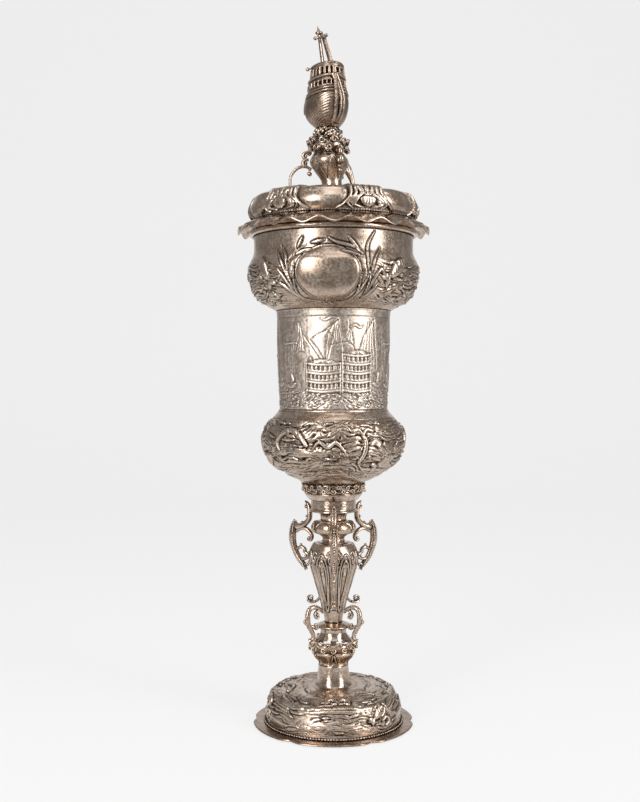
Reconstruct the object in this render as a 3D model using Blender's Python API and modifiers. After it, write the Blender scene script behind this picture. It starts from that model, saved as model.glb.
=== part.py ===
"""Silver standing cup with a lift-off cover and a ship finial.

Lengths are in metres, +Z is up and the front of the cup looks along -Y.
The origin is the centre of the face that the foot stands on.
"""

import math

import bmesh
import bpy
from mathutils import Matrix, Vector

MM = 0.001

# Clearances
GAP = 0.3 * MM
FIT = 0.3 * MM
BEZEL_FIT = 0.5 * MM

# Heights of the stacked pieces, from the foot up
FOOT_FLANGE_THICKNESS = 1.5 * MM
FOOT_DOME_HEIGHT = 29.4 * MM
COLLAR_HEIGHT = 17.5 * MM
LOWER_KNOP_HEIGHT = 12.7 * MM
WREATH_HEIGHT = 8.3 * MM
LOWER_REEL_HEIGHT = 9.1 * MM
DRIP_DISC_HEIGHT = 4.7 * MM
VASE_HEIGHT = 68.0 * MM
NECK_REEL_HEIGHT = 6.2 * MM
UPPER_KNOP_HEIGHT = 12.6 * MM
NECK_TUBE_HEIGHT = 7.4 * MM
SOCKET_REEL_HEIGHT = 10.0 * MM
SOCKET_RING_HEIGHT = 6.0 * MM
LEAF_COLLAR_HEIGHT = 7.4 * MM
LOWER_BOWL_HEIGHT = 63.7 * MM
DRUM_HEIGHT = 83.4 * MM
UPPER_BOWL_HEIGHT = 62.8 * MM
LIP_HEIGHT = 4.4 * MM
BEARER_HEIGHT = 6.8 * MM
COVER_FLANGE_THICKNESS = 1.2 * MM
COVER_DOME_HEIGHT = 22.4 * MM
COVER_CENTRE_DROP = 2.8 * MM
FINIAL_PLATE_HEIGHT = 5.6 * MM
FINIAL_VASE_HEIGHT = 32.7 * MM
FINIAL_WREATH_HEIGHT = 12.6 * MM
WAVE_MOUNT_HEIGHT = 8.7 * MM
HULL_HEIGHT = 39.8 * MM
GALLERY_HEIGHT = 9.6 * MM
RAIL_HEIGHT = 1.5 * MM

# Walls
FOOT_WALL = 1.3 * MM
BOWL_WALL = 1.3 * MM
COVER_WALL = 1.2 * MM
HULL_WALL = 1.5 * MM

# Foot
FOOT_LOBES = 6
FOOT_TURN = math.radians(-3)
FOOT_DOME_RADIUS = 57.8 * MM
FOOT_SHOULDER_INSET = 10.0 * MM
FLANGE_OVERHANG = 11.2 * MM
FLANGE_INSET = 2.8 * MM
FLANGE_NOTCH_DEPTH = 2.8 * MM
FLANGE_NOTCH_HALF_ANGLE = math.radians(9)
FOOT_WIRE_WIDTH = 1.8 * MM
FOOT_WIRE_HEIGHT = 1.6 * MM

# Stem, radii
COLLAR_TOP_RADIUS = 12.9 * MM
COLLAR_FLARE = 3.5 * MM
COLLAR_WALL = 2.0 * MM
LOWER_KNOP_RADIUS = 19.4 * MM
WREATH_BODY_RADIUS = 18.6 * MM
WREATH_LEAF_REACH = 3.8 * MM
WREATH_LEAVES = 12
LOWER_REEL_WAIST = 11.2 * MM
LOWER_REEL_END = 14.2 * MM
DRIP_DISC_RADIUS = 15.4 * MM
VASE_RADIUS = 21.3 * MM
VASE_FOOT_RADIUS = 7.4 * MM
VASE_TOP_RADIUS = 15.0 * MM
NECK_REEL_RADIUS = 9.8 * MM
UPPER_KNOP_RADIUS = 19.4 * MM
KNOP_LOBES = 6
KNOP_LOBE_DEPTH = 1.5 * MM
NECK_TUBE_RADIUS = 11.2 * MM
SOCKET_REEL_RADIUS = 19.3 * MM
SOCKET_FLANGE_LIP = 1.4 * MM
SOCKET_RING_RADIUS = 25.0 * MM
LEAF_COLLAR_BODY = 24.4 * MM
LEAF_COLLAR_REACH = 3.6 * MM
LEAF_COLLAR_LEAVES = 18

# Tie rod that clamps the foot, the stem and the bowl
ROD_RADIUS = 2.5 * MM
ROD_HEAD_RADIUS = 9.0 * MM
ROD_HEAD_HEIGHT = 2.6 * MM
ROD_TAIL = 10.0 * MM
WASHER_RADIUS = 20.0 * MM
WASHER_THICKNESS = 1.5 * MM
NUT_RADIUS = 7.0 * MM
NUT_HEIGHT = 5.5 * MM
NUT_FLATS = 6

# Bowl, radii
BOWL_FOOT_RADIUS = 26.0 * MM
DRUM_FOOT_RADIUS = 46.4 * MM
DRUM_TOP_RADIUS = 49.4 * MM
LOWER_BOWL_SWELL = 14.9 * MM
LOWER_BOWL_WIDEST = 0.58
MOUTH_RADIUS = 68.6 * MM
UPPER_BOWL_SWELL = 5.2 * MM
UPPER_BOWL_WIDEST = 0.557
PLAIN_BAND_HEIGHT = 6.0 * MM
LIP_OVERHANG = 3.9 * MM

# The long swells of the chased sea on the foot and the lower bowl.
SWELL_HEIGHT = 0.7 * MM
SWELL_PITCH = 17.0 * MM
SWELL_DRIFT = 1.3
SWELL_EDGE = 7.0 * MM

# Cover
COVER_TURN = math.radians(-8)
BEZEL_WALL = 1.2 * MM
BEZEL_DEPTH = 12.0 * MM
BEARER_OVERHANG = 2.0 * MM
COVER_FLANGE_WIDTH = 11.8 * MM
COVER_FLANGE_DROP = 7.8 * MM
COVER_WAVES = 20
COVER_WAVE_HEIGHT = 2.2 * MM
COVER_OVERHANG = 4.3 * MM
COVER_SHOULDER_INSET = 16.9 * MM
COVER_BOSSES = 6
COVER_BOSS_RELIEF = 2.6 * MM
BOSS_HALF_ANGLE = math.radians(17)
BOSS_MIDDLE = 0.64
BOSS_HALF_LENGTH = 0.33
BOSS_SQUARENESS = 2.4
COVER_CENTRE_RADIUS = 26.0 * MM

# Finial below the ship
FINIAL_SHIFT = 6.0 * MM
FINIAL_BEND_HEIGHT = 28.0 * MM
FINIAL_PLATE_RADIUS = 19.0 * MM
FINIAL_VASE_RADIUS = 16.8 * MM
FINIAL_WAIST_RADIUS = 8.8 * MM
FINIAL_WREATH_RADIUS = 16.2 * MM
FINIAL_WREATH_REACH = 3.5 * MM
FINIAL_WREATH_CURLS = 11
WAVE_MOUNT_RADIUS = 12.0 * MM
STUD_RADIUS = 1.8 * MM
STUD_TAIL = 7.0 * MM
STUD_TOP = 4.0 * MM
FINIAL_WASHER_RADIUS = 9.0 * MM
FINIAL_WASHER_THICKNESS = 1.2 * MM
FINIAL_NUT_RADIUS = 5.0 * MM
FINIAL_NUT_HEIGHT = 3.6 * MM

# Ship
SHIP_HEADING = math.radians(18)
HULL_RIM_HALF_BEAM = 14.8 * MM
HULL_SWELL = 3.2 * MM
HULL_AFT_STRETCH = 1.45
HULL_FORE_STRETCH = 1.9
BOW_PINCH = 0.45
SHEER = 0.06
SHEER_ROUNDING = 6.0 * MM
DECK_THICKNESS = 1.0 * MM
MAIN_DECK_DROP = 2.6 * MM
POOP_DECK_DROP = 2.6 * MM
GALLERY_TUMBLEHOME = 1.0 * MM
GALLERY_FORE_STRETCH = 0.28
RAIL_LIP = 0.5 * MM
KNOB_RADIUS = 1.7 * MM
KNOB_STEM_RADIUS = 0.9 * MM
KNOB_REACH = 2.6 * MM
KNOB_DROOP = 0.9 * MM
RUDDER_THICKNESS = 2.6 * MM
RUDDER_DEPTH = 3.2 * MM
RUDDER_STANDOFF = 0.6 * MM
MAST_RADIUS = 2.1 * MM
STAY_RADIUS = 1.4 * MM
NEST_RADIUS = 3.2 * MM
NEST_HEIGHT = 2.4 * MM
SPIKE_HEIGHT = 5.3 * MM
SPIKE_LEAN = -0.3
YARD_RADIUS = 1.0 * MM
YARD_BALL_RADIUS = 1.5 * MM
YARD_RIGHT = 2.6 * MM
YARD_LEFT = 6.8 * MM
YARD_RISE = 1.3 * MM
YARD_BELOW_HEAD = 2.2 * MM
MAST_TAPER = 0.75
MAST_FOOT_RISE = 0.9 * MM
MAST_RISE = 29.8 * MM
STAY_OVERTOP = 0.7 * MM
STAY_TAPER = 0.8

# Places of the masts' feet and heads: across and towards the back, as shares of the gallery's half beam
MAST_FOOT = (0.38, -0.76)
MAST_HEAD = (-0.22, -0.65)
STAY_FOOT = (-0.19, -0.39)
STAY_HEAD = (-0.47, -0.47)

# Cast scrolls
BRACKET_REACH = 19.1 * MM
BRACKET_HALF_WIDTH = 2.6 * MM
BRACKET_HALF_THICKNESS = 1.5 * MM
LOWER_SCROLL_REACH = 13.0 * MM
LOWER_SCROLL_HALF_WIDTH = 1.9 * MM
LOWER_SCROLL_HALF_THICKNESS = 1.15 * MM
LOWER_SCROLL_TOP = 0.2
STRAP_CURL_REACH = 14.4 * MM
STRAP_HALF_WIDTH = 2.4 * MM
STRAP_HALF_THICKNESS = 0.9 * MM
FINIAL_SCROLL_REACH = 7.8 * MM
TENDRIL_REACH = 19.6 * MM
FINIAL_SCROLL_HALF_WIDTH = 1.8 * MM
FINIAL_SCROLL_HALF_THICKNESS = 1.3 * MM

# Sides that the scrolls stand on, as angles from the front towards +X
THIRDS = (("front", 0.0), ("left", math.radians(-120)), ("right", math.radians(120)))
BETWEEN_THIRDS = (("left", math.radians(-60)), ("right", math.radians(60)), ("back", math.pi))
FINIAL_SIDES = (("left", math.radians(-93)), ("front", math.radians(27)), ("back", math.radians(147)))

# Facets round a turned piece
FINE = 36
MEDIUM = 24
COARSE = 16
COVER_STEPS = 60
SLIM = 12

SILVER = (0.42, 0.36, 0.31, 1.0)
STEEL = (0.32, 0.31, 0.30, 1.0)
ROUGHNESS = 0.3

PARTS = "silver_standing_cup"
CUTTERS = "cutters"


def clear_scene():
    """Removes what the file opened with, and makes the two collections."""
    for obj in list(bpy.data.objects):
        bpy.data.objects.remove(obj, do_unlink=True)
    for name in (PARTS, CUTTERS):
        bpy.context.scene.collection.children.link(bpy.data.collections.new(name))


def finish_of(name, colour):
    """A metal material of the piece's own."""
    material = bpy.data.materials.new(name + "_finish")
    material.use_nodes = True
    shader = material.node_tree.nodes["Principled BSDF"]
    shader.inputs["Base Color"].default_value = colour
    shader.inputs["Metallic"].default_value = 1.0
    shader.inputs["Roughness"].default_value = ROUGHNESS
    return material


def add_part(name, mesh, colour=SILVER):
    """Links a mesh as a named piece with its own finish."""
    obj = bpy.data.objects.new(name, mesh)
    bpy.data.collections[PARTS].objects.link(obj)
    mesh.materials.clear()
    mesh.materials.append(finish_of(name, colour))
    return obj


def evaluated_mesh(obj):
    """The mesh that an object's curve or modifiers give."""
    bpy.context.view_layer.update()
    graph = bpy.context.evaluated_depsgraph_get()
    return bpy.data.meshes.new_from_object(obj.evaluated_get(graph))


def smooth_route(points, steps):
    """Points on a smooth curve through the given ones, each a tuple of the same length."""
    found = []
    last = len(points) - 1
    for i in range(last):
        before, start, end, after = (points[max(0, min(last, i + k))] for k in (-1, 0, 1, 2))
        for step in range(steps):
            t = step / steps
            found.append(
                tuple(
                    b + 0.5 * t * ((c - a) + t * (2 * a - 5 * b + 4 * c - d) + t * t * (3 * b - a - 3 * c + d))
                    for a, b, c, d in zip(before, start, end, after)
                )
            )
    found.append(tuple(points[last]))
    return found


def turned(name, outline, steps, colour=SILVER, closed=True):
    """A turned piece. The outline runs down the outer side, then back up the bore."""
    mesh = bpy.data.meshes.new(name)
    edges = [(i, i + 1) for i in range(len(outline) - 1)]
    if closed:
        edges.append((len(outline) - 1, 0))
    mesh.from_pydata([(radius, 0.0, height) for radius, height in outline], edges, [])
    obj = add_part(name, mesh, colour)
    screw = obj.modifiers.new("turn", "SCREW")
    screw.steps = steps
    screw.render_steps = steps
    screw.use_merge_vertices = True
    screw.merge_threshold = 0.00001
    return obj


def reshape(obj, move):
    """Fixes the modifiers into the mesh, then moves each of its points by a formula."""
    mesh = evaluated_mesh(obj)
    mesh.name = obj.name
    obj.modifiers.clear()
    obj.data = mesh
    for vertex in mesh.vertices:
        vertex.co = move(vertex.co)
    mesh.update()
    return obj


def round_axis(co):
    """Radius, and the angle from the front towards +X."""
    return math.hypot(co.x, co.y), math.atan2(co.x, -co.y)


def swell(angle, along):
    """Height of the long waves at an angle and a way down the outline."""
    drift = math.sin(4 * angle + 1.0) + math.sin(3 * angle - along / SWELL_PITCH)
    return SWELL_HEIGHT * math.sin(2 * math.pi * along / SWELL_PITCH + SWELL_DRIFT * drift)


def work_relief(obj, run, height_at):
    """Moves a turned piece's outer run square to itself, by a height for each angle and way down the run."""
    lengths = [0.0]
    for (radius, height), (next_radius, next_height) in zip(run, run[1:]):
        lengths.append(lengths[-1] + math.hypot(next_radius - radius, next_height - height))
    outward = [
        ((radius - inner[0]) / MM, (height - inner[1]) / MM)
        for (radius, height), inner in zip(run, offset_inwards(run, MM))
    ]

    def move(co):
        radius, angle = round_axis(co)
        nearest = min(range(len(run)), key=lambda i: math.hypot(run[i][0] - radius, run[i][1] - co.z))
        if math.hypot(run[nearest][0] - radius, run[nearest][1] - co.z) > 0.01 * MM:
            return co
        height = height_at(angle, lengths[nearest], lengths[-1])
        return at_angle(radius + height * outward[nearest][0], angle, co.z + height * outward[nearest][1])

    return reshape(obj, move)


def chase(obj, run, high, low):
    """Raises the long waves on a turned piece's outer run, and lets them fade out at its ends."""

    def wave(angle, along, end):
        return fade(along, high, end - low, SWELL_EDGE) * swell(angle, along)

    return work_relief(obj, run, wave)


def fade(along, start, end, edge):
    """1 between two ways down a run, with slopes down to 0 at them."""
    return min(1.0, max(0.0, min(along - start, end - along)) / edge)


def at_angle(radius, angle, height):
    """The point at an angle from the front towards +X."""
    return Vector((radius * math.sin(angle), -radius * math.cos(angle), height))


def off_centre(angle, count):
    """The angle to the nearest of a count of evenly spaced places, one of them at the front."""
    pitch = 2 * math.pi / count
    return (angle + pitch / 2) % pitch - pitch / 2


def offset_inwards(outline, wall):
    """The outline moved in by a wall's thickness, square to its run."""
    found = []
    for i, (radius, height) in enumerate(outline):
        before = outline[max(0, i - 1)]
        after = outline[min(len(outline) - 1, i + 1)]
        along = Vector((after[0] - before[0], after[1] - before[1])).normalized()
        found.append((radius + along.y * wall, height - along.x * wall))
    return found


def strap(route, half_width, half_thickness, steps=2):
    """A flat band in the X-Y plane, as a loose mesh. Route points are x, y and a taper."""
    curve = bpy.data.curves.new("band", "CURVE")
    curve.dimensions = "2D"
    curve.fill_mode = "NONE"
    curve.extrude = half_width - half_thickness
    curve.bevel_depth = half_thickness
    curve.bevel_resolution = 0
    curve.use_fill_caps = True
    run = smooth_route(route, steps)
    spline = curve.splines.new("POLY")
    spline.points.add(len(run) - 1)
    for point, (across, up, taper) in zip(spline.points, run):
        point.co = (across, up, 0.0, 1.0)
        point.radius = taper
    return mesh_of_curve(curve)


def rod(route, radius):
    """A round rod along x, y, z points with a taper, as a loose mesh."""
    curve = bpy.data.curves.new("rod", "CURVE")
    curve.dimensions = "3D"
    curve.bevel_depth = radius
    curve.bevel_resolution = 1
    curve.use_fill_caps = True
    run = smooth_route(route, 2)
    spline = curve.splines.new("POLY")
    spline.points.add(len(run) - 1)
    for point, (x, y, z, taper) in zip(spline.points, run):
        point.co = (x, y, z, 1.0)
        point.radius = taper
    return mesh_of_curve(curve)


def mesh_of_curve(curve):
    """A closed mesh from a curve, with its caps welded to its sides."""
    holder = bpy.data.objects.new(curve.name, curve)
    bpy.data.collections[CUTTERS].objects.link(holder)
    mesh = evaluated_mesh(holder)
    bpy.data.objects.remove(holder)
    bm = bmesh.new()
    bm.from_mesh(mesh)
    bmesh.ops.remove_doubles(bm, verts=bm.verts, dist=0.000001)
    bmesh.ops.recalc_face_normals(bm, faces=bm.faces)
    bm.to_mesh(mesh)
    bm.free()
    return mesh


def ball(radius, centre):
    """A small faceted ball, as a loose mesh."""
    mesh = bpy.data.meshes.new("ball")
    bm = bmesh.new()
    bmesh.ops.create_uvsphere(bm, u_segments=8, v_segments=5, radius=radius)
    bmesh.ops.translate(bm, verts=bm.verts, vec=centre)
    bm.to_mesh(mesh)
    bm.free()
    return mesh


def cast(name, meshes):
    """One casting from overlapping loose meshes, joined by Boolean unions."""
    obj = add_part(name, meshes[0])
    for mesh in meshes[1:]:
        other = bpy.data.objects.new(name + "_more", mesh)
        bpy.data.collections[CUTTERS].objects.link(other)
        other.hide_render = True
        other.display_type = "WIRE"
        union = obj.modifiers.new("union", "BOOLEAN")
        union.operation = "UNION"
        union.solver = "EXACT"
        union.object = other
    joined = evaluated_mesh(obj)
    obj.modifiers.clear()
    obj.data = joined
    for other in list(bpy.data.collections[CUTTERS].objects):
        bpy.data.objects.remove(other)
    return obj


def upright(angle):
    """Turns the X-Y plane of a flat piece to stand along a radius at this angle from the front."""
    return Matrix.Rotation(angle - math.pi / 2, 4, "Z") @ Matrix.Rotation(math.pi / 2, 4, "X")


def place_copies(name, sides, casting):
    """Stands a copy of a flat casting at each named side, then removes the flat one."""
    for side, angle in sides:
        mesh = casting.data.copy()
        mesh.transform(upright(angle))
        add_part(f"{name}_{side}", mesh)
    bpy.data.objects.remove(casting)


class Levels:
    """Heights of the seats, worked out from the stacked pieces."""

    def __init__(self):
        self.foot_dome = FOOT_FLANGE_THICKNESS + GAP
        self.collar = self.foot_dome + FOOT_DOME_HEIGHT + GAP
        self.lower_knop = self.collar + COLLAR_HEIGHT + GAP
        self.wreath = self.lower_knop + LOWER_KNOP_HEIGHT + GAP
        self.lower_reel = self.wreath + WREATH_HEIGHT + GAP
        self.drip_disc = self.lower_reel + LOWER_REEL_HEIGHT + GAP
        self.vase = self.drip_disc + DRIP_DISC_HEIGHT + GAP
        self.neck_reel = self.vase + VASE_HEIGHT + GAP
        self.upper_knop = self.neck_reel + NECK_REEL_HEIGHT + GAP
        self.neck_tube = self.upper_knop + UPPER_KNOP_HEIGHT + GAP
        self.socket_reel = self.neck_tube + NECK_TUBE_HEIGHT + GAP
        self.socket_ring = self.socket_reel + SOCKET_REEL_HEIGHT + GAP
        self.leaf_collar = self.socket_ring + SOCKET_RING_HEIGHT + GAP
        self.lower_bowl = self.leaf_collar + LEAF_COLLAR_HEIGHT + GAP
        self.drum = self.lower_bowl + LOWER_BOWL_HEIGHT + GAP
        self.upper_bowl = self.drum + DRUM_HEIGHT + GAP
        self.lip = self.upper_bowl + UPPER_BOWL_HEIGHT + GAP
        self.lip_top = self.lip + LIP_HEIGHT
        self.bearer = self.lip_top + GAP
        self.cover_flange = self.bearer + BEARER_HEIGHT + GAP
        self.cover_dome = self.cover_flange + COVER_FLANGE_THICKNESS + GAP
        self.cover_centre = self.cover_dome + COVER_DOME_HEIGHT - COVER_CENTRE_DROP
        self.finial_plate = self.cover_centre + GAP
        self.finial_vase = self.finial_plate + FINIAL_PLATE_HEIGHT + GAP
        self.finial_wreath = self.finial_vase + FINIAL_VASE_HEIGHT + GAP
        self.wave_mount = self.finial_wreath + FINIAL_WREATH_HEIGHT + GAP
        self.hull = self.wave_mount + WAVE_MOUNT_HEIGHT + GAP
        self.hull_top = self.hull + HULL_HEIGHT
        self.gallery = self.hull_top + GAP
        self.rail = self.gallery + GALLERY_HEIGHT + GAP
        self.rail_top = self.rail + RAIL_HEIGHT


LEVEL = Levels()
BORE = ROD_RADIUS + FIT
STUD_BORE = STUD_RADIUS + FIT

# Radii that follow from the ones above
FOOT_SHOULDER_RADIUS = FOOT_DOME_RADIUS - FOOT_SHOULDER_INSET
FLANGE_LOBE_RADIUS = FOOT_DOME_RADIUS + FLANGE_OVERHANG
COLLAR_FOOT_RADIUS = COLLAR_TOP_RADIUS + COLLAR_FLARE
SOCKET_FLANGE_RADIUS = SOCKET_REEL_RADIUS + SOCKET_FLANGE_LIP
LOWER_BOWL_RADIUS = DRUM_FOOT_RADIUS + LOWER_BOWL_SWELL
UPPER_BOWL_RADIUS = MOUTH_RADIUS + UPPER_BOWL_SWELL
LIP_RADIUS = MOUTH_RADIUS + LIP_OVERHANG
BEARER_RADIUS = MOUTH_RADIUS + BEARER_OVERHANG
COVER_FLANGE_RADIUS = BEARER_RADIUS + COVER_FLANGE_WIDTH
COVER_RADIUS = MOUTH_RADIUS + COVER_OVERHANG
COVER_RING_RADIUS = COVER_RADIUS - COVER_SHOULDER_INSET
HULL_HALF_BEAM = HULL_RIM_HALF_BEAM + HULL_SWELL
GALLERY_TOP_HALF_BEAM = HULL_RIM_HALF_BEAM - GALLERY_TUMBLEHOME


def between(low, high, share):
    """The value at a share of the way from low to high."""
    return low + share * (high - low)


def radius_at(outline, height):
    """The radius of an outline, listed from its top down, at a height."""
    for (upper_radius, upper), (lower_radius, lower) in zip(outline, outline[1:]):
        if upper >= height >= lower:
            return between(lower_radius, upper_radius, (height - lower) / (upper - lower))
    return outline[-1][0]


def bored(name, outline, steps, bore=BORE):
    """A turned piece with a rod's bore through it."""
    top = outline[0][1]
    bottom = outline[-1][1]
    return turned(name, outline + [(bore, bottom), (bore, top)], steps)


def hex_nut(name, radius, bore, top, bottom):
    """A six-sided nut whose bore clears its rod at the flats."""
    clear = bore / math.cos(math.pi / NUT_FLATS)
    turned(name, [(radius, top), (radius, bottom), (clear, bottom), (clear, top)], NUT_FLATS, STEEL)


def build_foot():
    """The flange, its wire and the domed foot."""
    inner = FOOT_DOME_RADIUS - FLANGE_INSET
    flange = turned(
        "foot_flange",
        [
            (FLANGE_LOBE_RADIUS, FOOT_FLANGE_THICKNESS),
            (FLANGE_LOBE_RADIUS, 0.0),
            (inner, 0.0),
            (inner, FOOT_FLANGE_THICKNESS),
        ],
        FINE,
    )

    def notch(co):
        radius, angle = round_axis(co)
        if radius < FOOT_DOME_RADIUS:
            return co
        away = abs(off_centre(angle + math.pi / FOOT_LOBES, FOOT_LOBES)) / FLANGE_NOTCH_HALF_ANGLE
        return at_angle(radius - FLANGE_NOTCH_DEPTH * max(0.0, 1 - away) ** 1.5, angle, co.z)

    reshape(flange, notch).rotation_euler.z = FOOT_TURN

    base = LEVEL.foot_dome
    top = base + FOOT_DOME_HEIGHT
    run = [
        (COLLAR_FOOT_RADIUS, top),
        (0.5 * (COLLAR_FOOT_RADIUS + FOOT_SHOULDER_RADIUS), top - 0.02 * FOOT_DOME_HEIGHT),
        (FOOT_SHOULDER_RADIUS, top - 0.1 * FOOT_DOME_HEIGHT),
        (between(FOOT_SHOULDER_RADIUS, FOOT_DOME_RADIUS, 0.58), top - 0.22 * FOOT_DOME_HEIGHT),
        (between(FOOT_SHOULDER_RADIUS, FOOT_DOME_RADIUS, 0.9), top - 0.45 * FOOT_DOME_HEIGHT),
        (FOOT_DOME_RADIUS, base + 0.3 * FOOT_DOME_HEIGHT),
        (FOOT_DOME_RADIUS, base),
    ]
    inner_side = offset_inwards(run, FOOT_WALL)
    inner_side[-1] = (FOOT_DOME_RADIUS - FOOT_WALL, base)
    inner_side[0] = (WASHER_RADIUS, top - FOOT_WALL)
    inner_side = inner_side[:1] + inner_side[2:]
    outer_side = smooth_route(run, 2)
    dome = turned("foot_dome", [(BORE, top)] + outer_side + inner_side[::-1] + [(BORE, top - FOOT_WALL)], FINE)
    chase(dome, outer_side, COLLAR_FLARE, FOOT_WIRE_HEIGHT)

    wire_in = FOOT_DOME_RADIUS + GAP
    turned(
        "foot_rim_wire",
        [
            (wire_in + 0.5 * FOOT_WIRE_WIDTH, base + FOOT_WIRE_HEIGHT),
            (wire_in + FOOT_WIRE_WIDTH, base + 0.5 * FOOT_WIRE_HEIGHT),
            (wire_in + FOOT_WIRE_WIDTH, base),
            (wire_in, base),
            (wire_in, base + FOOT_WIRE_HEIGHT),
        ],
        FINE,
    )


def build_tie_rod():
    """The rod that pulls the foot, stem and bowl together, with its washer and nut."""
    under_dome = LEVEL.foot_dome + FOOT_DOME_HEIGHT - FOOT_WALL
    washer_top = under_dome - GAP
    washer_low = washer_top - WASHER_THICKNESS
    turned(
        "bearing_washer",
        [(WASHER_RADIUS, washer_top), (WASHER_RADIUS, washer_low), (BORE, washer_low), (BORE, washer_top)],
        COARSE,
        STEEL,
    )
    nut_top = washer_low - GAP
    nut_low = nut_top - NUT_HEIGHT
    hex_nut("rod_nut", NUT_RADIUS, BORE, nut_top, nut_low)
    head_low = LEVEL.lower_bowl + BOWL_WALL + GAP
    turned(
        "tie_rod",
        [
            (0.0, head_low + ROD_HEAD_HEIGHT),
            (0.7 * ROD_HEAD_RADIUS, head_low + 0.8 * ROD_HEAD_HEIGHT),
            (ROD_HEAD_RADIUS, head_low),
            (ROD_RADIUS, head_low),
            (ROD_RADIUS, nut_low - ROD_TAIL),
            (0.0, nut_low - ROD_TAIL),
        ],
        COARSE,
        STEEL,
        closed=False,
    )


def lobed_knop(name, outline, widest):
    """A turned knop gathered into lobes, with a valley at the front."""
    knop = bored(name, outline, MEDIUM)

    def gather(co):
        radius, angle = round_axis(co)
        if radius < 0.4 * widest:
            return co
        valley = (1 - abs(off_centre(angle, KNOP_LOBES)) * KNOP_LOBES / math.pi) ** 2
        share = max(0.0, min(1.0, (radius - 0.6 * widest) / (0.4 * widest)))
        return at_angle(radius - KNOP_LOBE_DEPTH * valley * share, angle, co.z)

    return reshape(knop, gather)


def leafy_ring(name, body, reach, base, height, leaves, bore=BORE, lift=0.0, steps=3):
    """A ring whose outer side is cut into leaves that curl out at mid height."""
    tip = body + reach
    top = base + height
    middle = base + 0.55 * height
    ring = bored(
        name,
        [
            (body - 0.12 * body, top),
            (body, top - 0.2 * height),
            (tip, middle),
            (body, base + 0.25 * height),
            (body - 0.15 * body, base),
        ],
        leaves * steps,
        bore,
    )

    def leaf(co):
        radius, angle = round_axis(co)
        if radius < 0.5 * (body + tip):
            return co
        edge = abs(off_centre(angle, leaves)) * leaves / math.pi
        return at_angle(radius - 0.8 * reach * edge, angle, co.z + lift * height * (1 - edge))

    return reshape(ring, leaf)


def vase_run():
    """Radii and heights of the baluster vase, from its top down."""
    base = LEVEL.vase
    return smooth_route(
        [
            (VASE_TOP_RADIUS, base + VASE_HEIGHT),
            (0.85 * VASE_RADIUS, base + 0.98 * VASE_HEIGHT),
            (VASE_RADIUS, base + 0.86 * VASE_HEIGHT),
            (0.95 * VASE_RADIUS, base + 0.72 * VASE_HEIGHT),
            (0.78 * VASE_RADIUS, base + 0.53 * VASE_HEIGHT),
            (0.55 * VASE_RADIUS, base + 0.29 * VASE_HEIGHT),
            (0.42 * VASE_RADIUS, base + 0.12 * VASE_HEIGHT),
            (VASE_FOOT_RADIUS, base),
        ],
        2,
    )


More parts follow.
